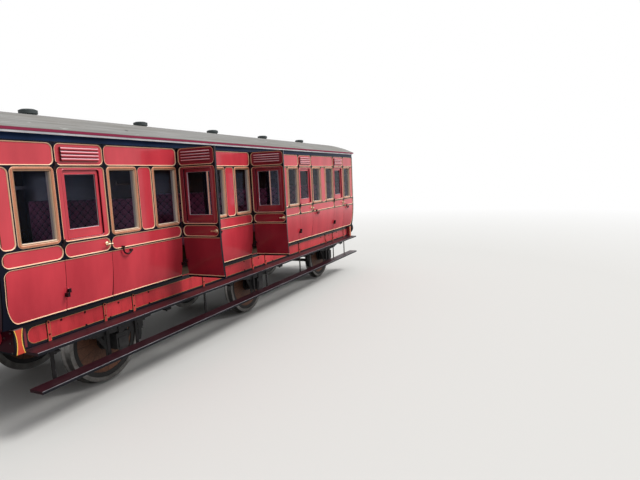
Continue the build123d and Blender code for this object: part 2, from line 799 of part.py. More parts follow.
# Axleboxes ride between the guards on the journals, each with a rounded oil cellar and a lid
def axlebox(x):
    half = guard_slot - box_clearance
    inner = disc_out + hub_outer + box_inner
    outer = journal_end + box_outer
    top = axle_height + box_rise
    bottom = axle_height - box_drop
    spring_line = bottom + half / 2
    edges = [Edge.make_three_point_arc((x - half, 0, spring_line), (x, 0, bottom), (x + half, 0, spring_line)),
             Edge.make_line((x + half, 0, spring_line), (x + half, 0, top)),
             Edge.make_line((x + half, 0, top), (x - half, 0, top)),
             Edge.make_line((x - half, 0, top), (x - half, 0, spring_line))]
    shell = Pos(0, -outer, 0) * extrude(Face(Wire(edges)), amount=outer - inner, dir=(0, 1, 0))
    lid = box(x - lid_half, x + lid_half, -outer - lid_thick, -outer, spring_line, axle_height + lid_half)
    bore = rod((x, -journal_end - 1, axle_height), (x, -inner + 1, axle_height), journal_radius + seat_gap)
    return shell + lid - bore


save("axleboxes", *both([axlebox(x) for x in axle_places]))

# Leaf springs on the axleboxes
spring_low = axle_height + box_rise + spring_lift
spring_curve = (spring_half ** 2 + spring_sag ** 2) / (2 * spring_sag)
spring_top = spring_low + leaf_count * spring_leaf
tip_z = spring_top + spring_half ** 2 / (2 * spring_curve)


def bow(reach, z):
    """Edge of a leaf whose middle is at height z."""
    lift = reach ** 2 / (2 * spring_curve)
    return Edge.make_three_point_arc((-reach, 0, z + lift), (0, 0, z), (reach, 0, z + lift))


def spring(x):
    leaves = []
    for k in range(leaf_count):
        reach = spring_half * (shortest_leaf + (1 - shortest_leaf) * (k + 1) / leaf_count)
        low = bow(reach, spring_low + k * spring_leaf)
        high = bow(reach, spring_low + (k + 1) * spring_leaf)
        ends = [Edge.make_line(low @ t, high @ t) for t in (0, 1)]
        leaves.append(extrude(Face(Wire([low, high] + ends)), amount=spring_width, dir=(0, 1, 0)))
    pack = Pos(x, -spring_y - spring_width / 2, 0) * fused(leaves)
    reach_y = spring_width / 2 + buckle_proud
    buckle = box(x - buckle_half, x + buckle_half, -spring_y - reach_y, -spring_y + reach_y,
                 spring_low - spring_lift, spring_top + buckle_proud)
    return pack + buckle


save("springs", *both([spring(x) for x in axle_places]))


# Scroll irons under the solebars, each with the bolt that holds a spring's end
def spring_hanger(x, s):
    """Curved iron from the solebar down to its eye; u runs away from the axle."""
    bolt_x = x + s * (spring_half + hanger_gap)
    eye = tip_z - hanger_drop

    def place(u, z):
        return bolt_x + s * u, 0, z

    # the iron's outline: outer curve, foot under the solebar, inner curve, eye
    foot = sole_bottom - hanger_foot
    rise = sole_bottom - eye
    outer_heights = (eye, eye + hanger_bend[0] * rise, foot)
    inner_heights = (sole_bottom, eye + hanger_bend[1] * rise, eye + hanger_eye)
    outer = [place(u, z) for u, z in zip(hanger_outer, outer_heights)]
    inner = [place(u, z) for u, z in zip(hanger_inner, inner_heights)]
    toe = [place(hanger_toe, foot), place(hanger_toe, sole_bottom)]
    lug = [place(-hanger_lug, eye + hanger_eye), place(-hanger_lug, eye)]
    edges = [Edge.make_three_point_arc(*outer), Edge.make_line(outer[2], toe[0]), Edge.make_line(*toe),
             Edge.make_line(toe[1], inner[0]), Edge.make_three_point_arc(*inner),
             Edge.make_line(inner[2], lug[0]), Edge.make_line(*lug), Edge.make_line(lug[1], outer[0])]
    iron = extrude(Face(Wire(edges)), amount=hanger_width, dir=(0, 1, 0))
    iron = Pos(0, -spring_y - hanger_width / 2, 0) * iron
    bolt = rod((bolt_x, -spring_y, eye - hanger_eye), (bolt_x, -spring_y, tip_z + hanger_eye - bolt_tip),
               bolt_radius)
    hook = box(bolt_x - s * hanger_hook, bolt_x + s * bolt_radius, -spring_y - bolt_radius, -spring_y + bolt_radius,
               tip_z + seat_gap, tip_z + hanger_eye)
    return iron + bolt + hook


save("spring_hangers", *both([spring_hanger(x, s) for x in axle_places for s in (-1, 1)]))

# Wheelsets: the axle with its two wooden-disc centres and their retaining rings, and the tyres
tyre_inner = tread_radius - tyre_thick
rim = tyre_inner - seat_gap
ring_inner = rim - ring_width
half_profile = [(journal_radius, journal_end - journal_tip), (journal_radius, disc_out + hub_outer),
                (hub_radius, disc_out + hub_outer), (hub_radius, disc_out), (ring_inner, disc_out),
                (ring_inner, disc_out + ring_proud), (rim, disc_out + ring_proud), (rim, disc_in - ring_proud),
                (ring_inner, disc_in - ring_proud), (ring_inner, disc_in), (hub_radius, disc_in),
                (hub_radius, disc_in - hub_inner), (axle_radius, disc_in - hub_inner)]
wheel_profile = [(0, journal_end - journal_tip)] + half_profile
wheel_profile += [(r, -y) for r, y in reversed(half_profile)] + [(0, -journal_end + journal_tip)]
flange = tread_radius + flange_height
tyre_back = half_gauge
# columns: radius, distance from the coach's middle
tyre_profile = [(tyre_inner, tyre_back), (flange - flange_lip, tyre_back), (flange, tyre_back + flange_steps[0]),
                (flange - flange_lip, tyre_back + flange_steps[1]), (tread_radius, tyre_back + flange_steps[2]),
                (tread_radius - flange_lip, tyre_back + tyre_width), (tyre_inner, tyre_back + tyre_width)]
wheelset = turned(wheel_profile, Axis.Y)
tyre = turned(tyre_profile, Axis.Y)
for number, x in enumerate(axle_places, 1):
    place = Pos(x, 0, axle_height)
    save(f"wheelset_{number}", place * wheelset)
    save(f"tyres_{number}", place * tyre, place * opposite(tyre))

# Buffers: a tapered housing on a round base, and a head on its ram
ram_bore = buffer_ram_radius + seat_gap
neck_root, neck_mouth = buffer_neck
housing_profile = [(ram_bore, 0), (buffer_base_radius, 0), (buffer_base_radius, buffer_base_thick),
                   (neck_root, buffer_base_thick), (neck_mouth, buffer_housing_length),
                   (ram_bore, buffer_housing_length)]
# columns: radius, distance from the headstock
head_profile = [(0, buffer_ram_start), (buffer_ram_radius, buffer_ram_start)]
head_profile += [(radius, buffer_length - back) for radius, back in buffer_rim] + [(0, buffer_length)]
buffer_places = [Plane((s * headstock_face, y, buffer_height), z_dir=(s, 0, 0))
                 for s in (-1, 1) for y in (-buffer_spacing_half, buffer_spacing_half)]
save("buffer_housings", *[place * turned(housing_profile, Axis.Z) for place in buffer_places])
save("buffer_heads", *[place * turned(head_profile, Axis.Z) for place in buffer_places])


# Drawhooks with their screw couplings hanging down
def right_coupling():
    face = headstock_face
    centre = buffer_height - hook_drop
    root = face + hook_plate_thick - 1
    plate = box(face, face + hook_plate_thick, -hook_plate, hook_plate, centre - hook_plate_half,
                centre + hook_plate_half)

    def at(u, z):
        return face + u, 0, centre + z

    jaw = [at(*point) for point in hook_jaw]
    throat = [at(*point) for point in hook_throat]
    upper_root = (root, 0, throat[2][2])
    lower_root = (root, 0, jaw[0][2])
    edges = [Edge.make_three_point_arc(*jaw), Edge.make_line(jaw[2], throat[0]),
             Edge.make_three_point_arc(*throat), Edge.make_line(throat[2], upper_root),
             Edge.make_line(upper_root, lower_root), Edge.make_line(lower_root, jaw[0])]
    hook = Pos(0, -hook_thick / 2, 0) * extrude(Face(Wire(edges)), amount=hook_thick, dir=(0, 1, 0))
    x = face + coupling_x
    nut_high = centre - shackle_length
    nut_low = nut_high - screw_length
    bail_low = nut_low - bail_length
    pieces = [plate, hook]
    for z in (centre, nut_high, nut_low, bail_low):
        radius = link_radius if z in (centre, bail_low) else nut_radius
        pieces.append(rod((x, -coupling_half - link_radius, z), (x, coupling_half + link_radius, z), radius))
    for y in (-coupling_half, coupling_half):
        pieces.append(rod((x, y, centre), (x, y, nut_high), link_radius))
        pieces.append(rod((x, y, nut_low), (x, y, bail_low), link_radius))
    pieces.append(rod((x, 0, nut_high + nut_cover), (x, 0, nut_low - nut_cover), screw_radius))
    pieces.append(rod((x, -coupling_half, nut_high - screw_length / 2), (x, screw_length / 2,
                      nut_high - screw_length / 2), link_radius))
    return fused(pieces)


coupling = right_coupling()
save("couplings", coupling, opposite(coupling))


# Vacuum brake pipes: up from under each headstock and over in a swan neck
def right_pipe():
    x = body_half + bead_proud + pipe_radius + pipe_clear
    top = sole_top + pipe_leg - pipe_bend + pipe_radius
    riser = rod((x, -pipe_y, sole_bottom - pipe_low), (x, -pipe_y, top), pipe_radius)
    section = Plane((x, -pipe_y, top)) * Circle(pipe_radius)
    neck = revolve(section, Axis((x + pipe_bend, -pipe_y, top), (0, 1, 0)), 180)
    leg = rod((x + 2 * pipe_bend, -pipe_y, top - pipe_leg), (x + 2 * pipe_bend, -pipe_y, top), pipe_radius)
    clip = box(headstock_face, x, -pipe_y - pipe_clip_half, -pipe_y + pipe_clip_half,
               buffer_height - pipe_clip_depth, buffer_height)
    return fused([riser, neck, leg, clip])


pipe = right_pipe()
save("vacuum_pipes", pipe, opposite(pipe))


# Brake gear: a hanger and block on the inner side of each outer wheel, cross beams and a pull rod
def brake_gear():
    beam_z = axle_height - beam_drop
    outer_arc = tread_radius + block_clearance + block_thick
    wheel_y = half_gauge + block_offset
    pieces = []
    for x, s in ((-wheelbase_half, 1), (wheelbase_half, -1)):
        beam_x = x + s * (tread_radius + beam_offset)
        pieces.append(box(beam_x - beam_size / 2, beam_x + beam_size / 2, -beam_half, beam_half,
                          beam_z - beam_size / 2, beam_z + beam_size / 2))
        for y in (-wheel_y, wheel_y):
            ring = turned([(tread_radius + block_clearance, -block_width / 2), (outer_arc, -block_width / 2),
                           (outer_arc, block_width / 2), (tread_radius + block_clearance, block_width / 2)], Axis.Y)
            block = ring & box(s * (tread_radius - block_half), s * (outer_arc + block_half), -block_width, block_width,
                               -block_half, block_half)
            pieces.append(Pos(x, y, axle_height) * block)
            pieces.append(box(beam_x - hanger_bar / 2, beam_x + hanger_bar / 2, y - hanger_bar, y + hanger_bar,
                              beam_z, member_low))
            pieces.append(box(x + s * (outer_arc - block_thick / 2), beam_x, y - hanger_bar, y + hanger_bar,
                              beam_z - hanger_bar, beam_z + hanger_bar))
        pieces.append(box(beam_x - hanger_bar / 2, beam_x + hanger_bar / 2, rod_y - hanger_bar, rod_y + hanger_bar,
                          axle_height - rod_drop - hanger_bar, beam_z))
    rod_x = wheelbase_half - tread_radius - beam_offset
    rod_z = axle_height - rod_drop
    pieces.append(rod((-rod_x, rod_y, rod_z), (rod_x, rod_y, rod_z), rod_radius))
    return fused(pieces)


save("brake_gear", brake_gear())

# Vacuum cylinder under a bearer beside the middle axle
save("vacuum_cylinder", Solid.make_cylinder(cylinder_radius, cylinder_length,
                                            Plane(origin=(bearer_offset, cylinder_y, member_low - cylinder_length))))

# Footboards and the irons that carry them
for node, gap, top in (("footboards_upper", upper_board_gap, upper_board_top),
                       ("footboards_lower", lower_board_gap, lower_board_top)):
    board = box(-sole_half, sole_half, -sole_face - gap, -board_outer, top - board_thick, top)
    save(node, board, opposite(board))


def step_iron(x):
    """Strap down the solebar's face with a round top, and an arm under each board."""
    low = lower_board_top - board_thick - iron_thick
    high = sole_top - iron_top_gap
    plane = Plane((x, -sole_face, (low + high) / 2), x_dir=(0, 0, 1), z_dir=(0, -1, 0))
    strap = extrude(plane * SlotOverall(high - low, iron_width), amount=iron_thick)
    foot = box(x - iron_width / 2, x + iron_width / 2, -sole_face - iron_thick, -sole_face, low, low + iron_width)
    pieces = [strap, foot]
    for top in (upper_board_top, lower_board_top):
        z = top - board_thick
        pieces.append(box(x - iron_width / 2, x + iron_width / 2, -board_outer + arm_setback, -sole_face,
                          z - iron_thick, z))
    return fused(pieces)


iron_places = [headstock_face - end_iron_setback, wheelbase_half + iron_offset, wheelbase_half - iron_offset,
               wheelbase_half / 2, iron_offset]
save("step_irons", *both([step_iron(s * x) for x in iron_places for s in (-1, 1)]))

# Steps and handrails on one end for reaching the roof
end_pieces = []
for k in range(step_count):
    z = step_first + k * step_pitch
    end_pieces.append(box(body_half, body_half + step_reach, step_near, step_far, z, z + step_thick))
for y in rail_places:
    x = body_half + rail_stand
    pieces = [rod((x, y, rail_low - rail_tail), (x, y, rail_high + rail_tail), rail_radius)]
    for z in (rail_low, rail_high):
        pieces.append(rod((body_half, y, z), (x + rail_radius / 2, y, z), rail_radius - 1))
    end_pieces.append(fused(pieces))
save("end_irons", *end_pieces)
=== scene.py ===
import bmesh
import bpy
import math
import numpy as np
from functools import partialmethod, reduce
from mathutils import Matrix, Vector


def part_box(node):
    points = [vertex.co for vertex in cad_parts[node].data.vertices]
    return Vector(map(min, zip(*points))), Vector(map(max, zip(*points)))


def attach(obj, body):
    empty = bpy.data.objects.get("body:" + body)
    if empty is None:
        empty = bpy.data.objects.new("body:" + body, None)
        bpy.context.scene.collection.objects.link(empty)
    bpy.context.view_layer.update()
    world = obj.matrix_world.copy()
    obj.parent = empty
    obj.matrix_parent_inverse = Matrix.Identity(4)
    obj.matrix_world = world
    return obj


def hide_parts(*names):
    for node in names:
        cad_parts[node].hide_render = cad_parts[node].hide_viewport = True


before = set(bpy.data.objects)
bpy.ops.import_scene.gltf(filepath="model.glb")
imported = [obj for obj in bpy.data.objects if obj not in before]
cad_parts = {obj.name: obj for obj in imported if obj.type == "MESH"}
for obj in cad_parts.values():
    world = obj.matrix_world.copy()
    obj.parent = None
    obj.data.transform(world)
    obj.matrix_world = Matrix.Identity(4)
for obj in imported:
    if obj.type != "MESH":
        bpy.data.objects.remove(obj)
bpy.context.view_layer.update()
print("frame loaded:", len(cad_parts), "nodes")

# Everything is in metres, in the coach's own frame: X along it, Y across, Z up.
# Sizes that the solids already hold are read from them.
coach = {
    "doorPitch": 1.905, "doorCount": 5, "openAngles": {2: 90.0, 3: 85.0}, "hingeX": -0.3215, "hingeStand": 0.018,
    "bodyHalf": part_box("beading")[1].x, "panelEnd": 4.840, "halfWidth": -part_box("side_near")[0].y,
    "bodyBottom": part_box("side_near")[0].z, "sideTop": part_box("side_near")[1].z,
    "turnStart": 1.787, "turnUnder": 0.064, "axleHeight": 0.574, "wheelbaseHalf": 3.353,
}
doorCentres = (np.arange(coach["doorCount"]) - (coach["doorCount"] - 1) / 2) * coach["doorPitch"]
axlePlaces = np.array([-1, 0, 1]) * coach["wheelbaseHalf"]
# the lower side's arc: its radius from the drop and the distance that it turns under
turnDrop = coach["turnStart"] - coach["bodyBottom"]
turnRadius = (turnDrop ** 2 + coach["turnUnder"] ** 2) / (2 * coach["turnUnder"])


def linked(name, data):
    # a new object in the scene
    thing = bpy.data.objects.new(name, data)
    bpy.context.scene.collection.objects.link(thing)
    return thing


# The camera stands on the platform's side, near the left end, and looks along the coach. Its angles are in
# degrees: yaw from +X towards +Y, pitch down, and roll that lifts the horizon to the right.
camera = {"place": (-7.681, -5.926, 2.548), "yaw": 24.712, "pitch": 7.458, "roll": 2.501, "lens": 27.06,
          "sensor": 36, "clip": (0.05, 200)}


def makeCamera():
    yaw, pitch, roll = [math.radians(camera[k]) for k in ("yaw", "pitch", "roll")]
    level = Vector((math.cos(yaw), math.sin(yaw), 0))
    forward = level * math.cos(pitch) - Vector((0, 0, 1)) * math.sin(pitch)
    right = Vector((math.sin(yaw), -math.cos(yaw), 0))
    up = right.cross(forward)
    tiltedRight = right * math.cos(roll) - up * math.sin(roll)
    tiltedUp = right * math.sin(roll) + up * math.cos(roll)
    data = bpy.data.cameras.new("camera")
    data.sensor_width, data.lens = camera["sensor"], camera["lens"]
    data.clip_start, data.clip_end = camera["clip"]
    eye = linked("camera", data)
    columns = Matrix((tiltedRight, tiltedUp, -forward)).transposed()
    eye.matrix_world = Matrix.Translation(camera["place"]) @ columns.to_4x4()
    bpy.context.scene.camera = eye


makeCamera()
print("camera placed")


# Node helpers. A field is a value in a node tree: arithmetic, a comparison or abs on it adds one maths node.
# A comparison gives 1 where it holds and 0 elsewhere; near takes a middle and a half width.
class Field:
    def __init__(self, tree, socket):
        self.tree, self.socket = tree, socket

    def maths(self, kind, *others):
        node = self.tree.nodes.new("ShaderNodeMath")
        node.operation = kind
        for socket, value in zip(node.inputs, (self, *others)):
            put(socket, value)
        return Field(self.tree, node.outputs[0])

    __add__ = partialmethod(maths, "ADD")
    __sub__ = partialmethod(maths, "SUBTRACT")
    __mul__ = partialmethod(maths, "MULTIPLY")
    __truediv__ = partialmethod(maths, "DIVIDE")
    __gt__ = partialmethod(maths, "GREATER_THAN")
    __lt__ = partialmethod(maths, "LESS_THAN")
    __abs__ = partialmethod(maths, "ABSOLUTE")
    near = partialmethod(maths, "COMPARE")
    most = partialmethod(maths, "MAXIMUM")
    least = partialmethod(maths, "MINIMUM")


def reach(a, b):
    # the root of the sum of the two squares
    return (a * a + b * b).maths("SQRT")


def outline(u, v, halfU, halfV, radius):
    # distance outside a rounded rectangle about the middle: negative inside it
    return reach((abs(u) - (halfU - radius)).most(0.0), (abs(v) - (halfV - radius)).most(0.0)) - radius


def put(socket, value):
    # links a field, or sets a number, a vector or a colour
    if isinstance(value, Field):
        value.tree.links.new(value.socket, socket)
    elif socket.type == "RGBA" and len(value) == 3:
        socket.default_value = (*value, 1)
    else:
        socket.default_value = value


class Nodes:
    def __init__(self, tree):
        self.tree = tree

    def add(self, kind, inputs, *outputs, **settings):
        # one node with its own settings and inputs; gives the outputs that are named, or else the first
        node = self.tree.nodes.new("ShaderNode" + kind)
        for name, value in settings.items():
            setattr(node, name, value)
        for key, value in inputs.items():
            put(node.inputs[key], value)
        found = [Field(self.tree, node.outputs[name]) for name in outputs or (0,)]
        return found if len(found) > 1 else found[0]

    def mapped(self, scale=(1, 1, 1), shift=(0, 0, 0), turn=(0, 0, 0)):
        return self.add("Mapping", {"Vector": self.place, "Location": shift, "Rotation": turn, "Scale": scale})

    def noise(self, scale, detail=4.0, rough=0.5, warp=0.0, stretch=None):
        vector = self.mapped(scale=stretch) if stretch else self.place
        return self.add("TexNoise", {"Vector": vector, "Scale": scale, "Detail": detail, "Roughness": rough,
                                     "Distortion": warp}, "Fac")

    def ramp(self, factor, tones, stops=(0.3, 0.7)):
        result = self.add("ValToRGB", {0: factor})
        band = result.socket.node.color_ramp
        while len(band.elements) < len(stops):
            band.elements.new(0.5)
        for element, stop, tone in zip(band.elements, stops, tones):
            element.position, element.color = stop, (*tone, 1)
        return result

    def between(self, factor, low, high, fromLow=0.0, fromHigh=1.0):
        return self.add("MapRange", {"Value": factor, "From Min": fromLow, "From Max": fromHigh, "To Min": low,
                                     "To Max": high})

    def mixed(self, factor, first, second):
        return self.add("Mix", {0: factor, 6: first, 7: second}, 2, data_type="RGBA")

    def layered(self, colour, *layers):
        # each layer is (where, tone), and a tone may be a name in lineTones
        for where, tone in layers:
            colour = self.mixed(where, colour, lineTones[tone] if isinstance(tone, str) else tone)
        return colour

    def split(self, vector=None):
        return self.add("SeparateXYZ", {0: vector or self.place}, 0, 1, 2)

    def seen(self):
        # 1 for the camera and in what shiny and clear things show, and the camera's own share of it
        camera, glossy, clear = self.add("LightPath", {}, "Is Camera Ray", "Is Glossy Ray", "Is Transmission Ray")
        return camera.most(glossy.most(clear)), camera

    def blended(self, factor, first, second, output):
        # two shaders mixed by a factor, led to the tree's output
        mix = self.add("MixShader", {0: factor, 1: first, 2: second})
        put(self.tree.nodes[output].inputs["Surface"], mix)


class Finish(Nodes):
    sockets = {"colour": "Base Color", "roughness": "Roughness", "metal": "Metallic", "coat": "Coat Weight",
               "coatRoughness": "Coat Roughness", "sheen": "Sheen Weight", "sheenRoughness": "Sheen Roughness",
               "transmission": "Transmission Weight", "ior": "IOR", "specular": "Specular IOR Level",
               "specularTint": "Specular Tint", "normal": "Normal"}

    def __init__(self, name, place=None):
        self.material = bpy.data.materials.new(name)
        self.material.use_nodes = True
        super().__init__(self.material.node_tree)
        self.place, self.facing = self.add("TexCoord", {}, "Object", "Normal")
        self.shader = self.tree.nodes["Principled BSDF"]
        self.dull = None      # where a painter sets it, the varnish does not shine there
        if place is not None:
            # the pattern is laid out on the part's own axes, before it was turned and put in its place
            back = place.inverted()
            self.place = self.mapped(shift=back.to_translation(), turn=back.to_euler())
            self.facing = self.add("Mapping", {"Vector": self.facing, "Rotation": back.to_euler()},
                                   vector_type="VECTOR")

    def set(self, **values):
        for key, value in values.items():
            put(self.shader.inputs[self.sockets[key]], value)

    def done(self, height, strength, distance, **values):
        # the last step: the relief and the other sockets; gives the material
        self.set(normal=self.add("Bump", {"Height": height, "Strength": strength, "Distance": distance}), **values)
        return self.material


# Coach paint: deep varnished colour, cloudy in tall soft bands, with brush ripple, a pale tone on what faces up
# that is partly dust and partly a painted highlight, and stains low down. Its specular level is low where the varnish
# is old.
# Columns: dark and light tone, gloss, coat, specular level, the pale tone of dust and painted highlight on what faces
# up, and how much of it
paintLook = {
    "crimson": ((0.46, 0.029, 0.045), (0.66, 0.052, 0.073), 0.13, 0.30, 0.32, (0.80, 0.40, 0.45), 0.75),
    # the next row is crimson darkened as a painted shade, for the doors that stand open
    "paintedShadeCrimson": ((0.22, 0.012, 0.026), (0.38, 0.024, 0.044), 0.13, 0.45, 0.40, (0.62, 0.32, 0.40), 0.75),
    "solebar": ((0.42, 0.025, 0.034), (0.65, 0.048, 0.058), 0.24, 0.2, 0.3, (0.42, 0.20, 0.17), 0.4),
    # the next row paints the droplight recess's wall near black as a painted shade, with a pink painted highlight where
    # it faces up
    "recess": ((0.020, 0.002, 0.006), (0.040, 0.004, 0.010), 0.3, 0.0, 0.1, (0.80, 0.33, 0.38), 0.9),
    "hinge": ((0.010, 0.003, 0.005), (0.026, 0.007, 0.010), 0.3, 0.0, 0.2, (0.06, 0.03, 0.035), 0.5),
    "maroon": ((0.030, 0.003, 0.008), (0.062, 0.006, 0.015), 0.16, 0.15, 0.14, (0.16, 0.06, 0.07), 0.4),
    "black": ((0.004, 0.006, 0.012), (0.010, 0.010, 0.020), 0.24, 0.0, 0.08, (0.05, 0.06, 0.09), 0.6),
    "eavesBlack": ((0.003, 0.011, 0.034), (0.008, 0.023, 0.072), 0.24, 0.0, 0.08, (0.05, 0.07, 0.12), 0.6),
    "gold": ((0.76, 0.43, 0.24), (0.94, 0.62, 0.41), 0.3, 0.2, 0.3, (0.97, 0.74, 0.56), 0.5),
    "greyBand": ((0.40, 0.40, 0.43), (0.54, 0.54, 0.57), 0.4, 0.1, 0.3, (0.7, 0.7, 0.7), 0.5),
}
lineTones = {
    "dullGold": (0.46, 0.24, 0.09), "yellow": (0.86, 0.58, 0.11), "black": (0.008, 0.008, 0.014),
    "eavesBlack": (0.006, 0.019, 0.056), "maroon": (0.048, 0.005, 0.013), "shade": (0.035, 0.003, 0.009),
    "lining": (0.075, 0.034, 0.016), "stripMaroon": (0.235, 0.016, 0.055), "endRed": (0.60, 0.070, 0.040),
    # the pale rib tone in the next row is a painted highlight on the ventilator ribs
    "wornTop": (0.16, 0.11, 0.12), "paintedRibHighlight": (0.88, 0.47, 0.53), "strapIron": (0.014, 0.013, 0.014),
    "solebarEnd": (0.20, 0.030, 0.045),
}
stainBand = (1.15, 1.32)      # heights between which the stains fade out
coatRough, dullLevel = 0.06, 0.08


def darker(colour, share):
    return tuple(share * c for c in colour)


def paint(name, place=None, title=None, ripple=0.05, lines=None):
    dark, light, gloss, coat, specular, dustAndHighlight, dustAndHighlightShare = paintLook[name]
    f = Finish(title or name + "Paint", place)
    clouds = f.noise(1.5, detail=4, rough=0.5, stretch=(1.6, 1.6, 0.5))
    stains = f.noise(5, detail=6, rough=0.65, stretch=(3, 3, 0.7))
    low = f.between(f.split()[2], 0.55, 0.0, *stainBand)
    # what faces up is paler, partly dust and partly a painted highlight; stains darken it low down
    colour = f.layered(f.ramp(clouds, (dark, light), (0.30, 0.66)),
                       (f.between(f.split(f.facing)[2], 0.0, dustAndHighlightShare, 0.25, 0.90), dustAndHighlight),
                       (low * f.between(stains, 0, 1, 0.5, 0.8), darker(dark, 0.45)))
    if lines:
        colour = lines(f, colour, *f.split())
    speck = f.noise(95, detail=3, rough=0.6)
    if f.dull is not None:
        coat, specular = f.between(f.dull, coat, 0.0), f.between(f.dull, specular, dullLevel)
    return f.done(f.noise(42, detail=2, stretch=(0.35, 0.35, 1)), ripple, 0.001, colour=colour, coat=coat,
                  coatRoughness=coatRough, specular=specular, roughness=f.between(speck, gloss, gloss + 0.10))


# Wood: long grain along one axis with darker pores, under varnish.
# Columns: dark and light tone, gloss, coat, specular level, and the pale tone for varnish that is bleached and painted
# light
woodLook = {
    "frame": ((0.46, 0.145, 0.065), (0.72, 0.260, 0.130), 0.24, 0.35, 0.5, (0.97, 0.64, 0.46)),
    # the next row is the dark wood of the windows' groove and step, a painted shade
    "step": ((0.090, 0.030, 0.016), (0.150, 0.052, 0.028), 0.4, 0.1, 0.5, (0.66, 0.38, 0.25)),
    "bead": ((0.40, 0.200, 0.100), (0.56, 0.310, 0.170), 0.3, 0.2, 0.5, (0.97, 0.78, 0.60)),
    "lining": ((0.060, 0.028, 0.013), (0.130, 0.062, 0.028), 0.35, 0.2, 0.5, None),
    "floor": ((0.030, 0.020, 0.014), (0.070, 0.046, 0.030), 0.7, 0.0, 0.1, None),
    "underframe": ((0.020, 0.016, 0.014), (0.06, 0.045, 0.038), 0.7, 0.0, 0.5, None),
}
frameHead = 2.6               # above this the undersides of the frames are in shade


def wood(name, along="Z"):
    dark, light, gloss, coat, specular, bleachedAndPaintedLightTone = woodLook[name]
    f = Finish(name + "Wood" + along)
    stretch = [1.2 if axis == along else 26 for axis in "XYZ"]
    grain = f.noise(1.5, detail=7, rough=0.62, warp=0.4, stretch=stretch)
    pores = f.noise(2.2, detail=3, rough=0.7, stretch=[v * 4 for v in stretch])
    colour = f.ramp(grain, (dark, light), (0.32, 0.68))
    if bleachedAndPaintedLightTone:
        # the varnish is bleached on the sills; the pale tone there and on the reveals beside the glass is also painted
        # light, and the undersides high up get a painted shade
        nx, ny, nz = f.split(f.facing)
        bleachedAndPaintedLight = f.between(nz, 0, 0.9, 0.2, 0.7).most(f.between(abs(nx), 0, 1.0, 0.6, 0.9))
        colour = f.mixed(bleachedAndPaintedLight, colour, bleachedAndPaintedLightTone)
        under = f.between(nz, 0.7, 0, -0.5, -0.05) * (f.split()[2] > frameHead)
        colour = f.mixed(under, colour, darker(dark, 0.35))
    return f.done(pores, 0.15, 0.0006, colour=f.mixed(f.between(pores, 0, 0.5, 0.55, 0.8), colour, darker(dark, 0.3)),
                  coat=coat, coatRoughness=0.08, roughness=f.between(grain, gloss, gloss + 0.15), specular=specular)


# Iron and steel: near-black with a rough skin, or worn bright.
# Columns: dark and light tone, metal, roughness, rust
ironLook = {
    "blackIron": ((0.010, 0.010, 0.011), (0.032, 0.030, 0.030), 0.0, 0.45, 0.6),
    "wornSteel": ((0.055, 0.050, 0.047), (0.17, 0.155, 0.145), 0.85, 0.38, 0.6),
    "tyreSteel": ((0.20, 0.19, 0.18), (0.40, 0.385, 0.37), 1.0, 0.28, 0.6),
    "lampIron": ((0.018, 0.026, 0.028), (0.045, 0.058, 0.060), 0.0, 0.5, 0.6),
    "handleBrass": ((0.62, 0.47, 0.27), (0.88, 0.74, 0.52), 1.0, 0.22, 0.1),
}
rustTone = (0.075, 0.032, 0.016)


def iron(name):
    dark, light, metal, rough, rusty = ironLook[name]
    f = Finish(name)
    patches = f.noise(9, detail=6, rough=0.65)
    rust = f.between(f.noise(3.2, detail=7, rough=0.7), 0, rusty, 0.6, 0.78)
    return f.done(f.noise(160, detail=3, rough=0.6), 0.22, 0.0009, metal=metal,
                  colour=f.mixed(rust, f.ramp(patches, (dark, light)), rustTone),
                  roughness=f.between(patches, rough, rough + 0.22))


# Lines and bands painted over a ground colour: each takes the finish, its colour and the three coordinates,
# and gives the new colour.
eavesLine = 3.0285            # above the eaves panels all is black
ventilatorLook = {"halfLength": 0.2478, "middle": 2.913, "halfHeight": 0.0790, "proud": 0.0040, "low": 2.836,
                  "pitch": 0.0385, "groove": 0.0042, "shadedEnd": -0.2420}
doorEdgeFrom = 0.30           # the doors' edges lie beyond this


def doorLines(f, colour, x, y, z):
    s = ventilatorLook
    nx, ny, nz = f.split(f.facing)
    # ventilator: painted shade between its ribs and at its left end, a pale painted highlight along the top of each rib
    hood = x.near(0.0, s["halfLength"]) * z.near(s["middle"], s["halfHeight"])
    hood = hood * (y < -coach["halfWidth"] - s["proud"])
    rise = z - s["low"]
    step = (rise / s["pitch"]).maths("FRACT")
    crest = f.between(step, 0, 0.85, 0.42, 0.70) * f.between(step, 1, 0, 0.78, 0.90)
    dark = (rise.maths("PINGPONG", s["pitch"] / 2) < s["groove"]).most(x < s["shadedEnd"])
    # black top rail and edges, varnished inside
    f.dull = (abs(nx) > 0.7) * (abs(x) > doorEdgeFrom)
    return f.layered(colour, (hood * crest, "paintedRibHighlight"), (hood * dark, "shade"), (z > eavesLine, "eavesBlack"),
                     (f.dull, "black"), (ny > 0.5, "lining"))


def wallLines(f, colour, x, y, z):
    # black above the eaves panels and in the reveals, varnished inside
    outward = f.split(f.facing)[1] * y.maths("SIGN")
    return f.layered(colour, (z > eavesLine, "eavesBlack"), (outward < 0.5, "black"), (outward < -0.5, "lining"))


endLook = {"proud": 0.0008, "corner": 1.186, "wall": 0.050}


def endLines(f, colour, x, y, z):
    # black down the corner and round the edges of the raised mouldings, varnished inside
    s = endLook
    raised = abs(x) > coach["panelEnd"] + s["proud"]
    return f.layered(colour, (raised * (abs(y) > s["corner"]), "black"),
                     (raised * (abs(f.split(f.facing)[0]) < 0.5), "black"),
                     (abs(x) < coach["panelEnd"] - s["wall"], "lining"))


solebarLook = {"halfLength": 4.563, "middle": 1.029, "halfHeight": 0.090, "radius": 0.078, "line": 0.0046,
               "face": 1.0975, "strip": (4.590, 0.012), "stripHalfHeight": 0.100}


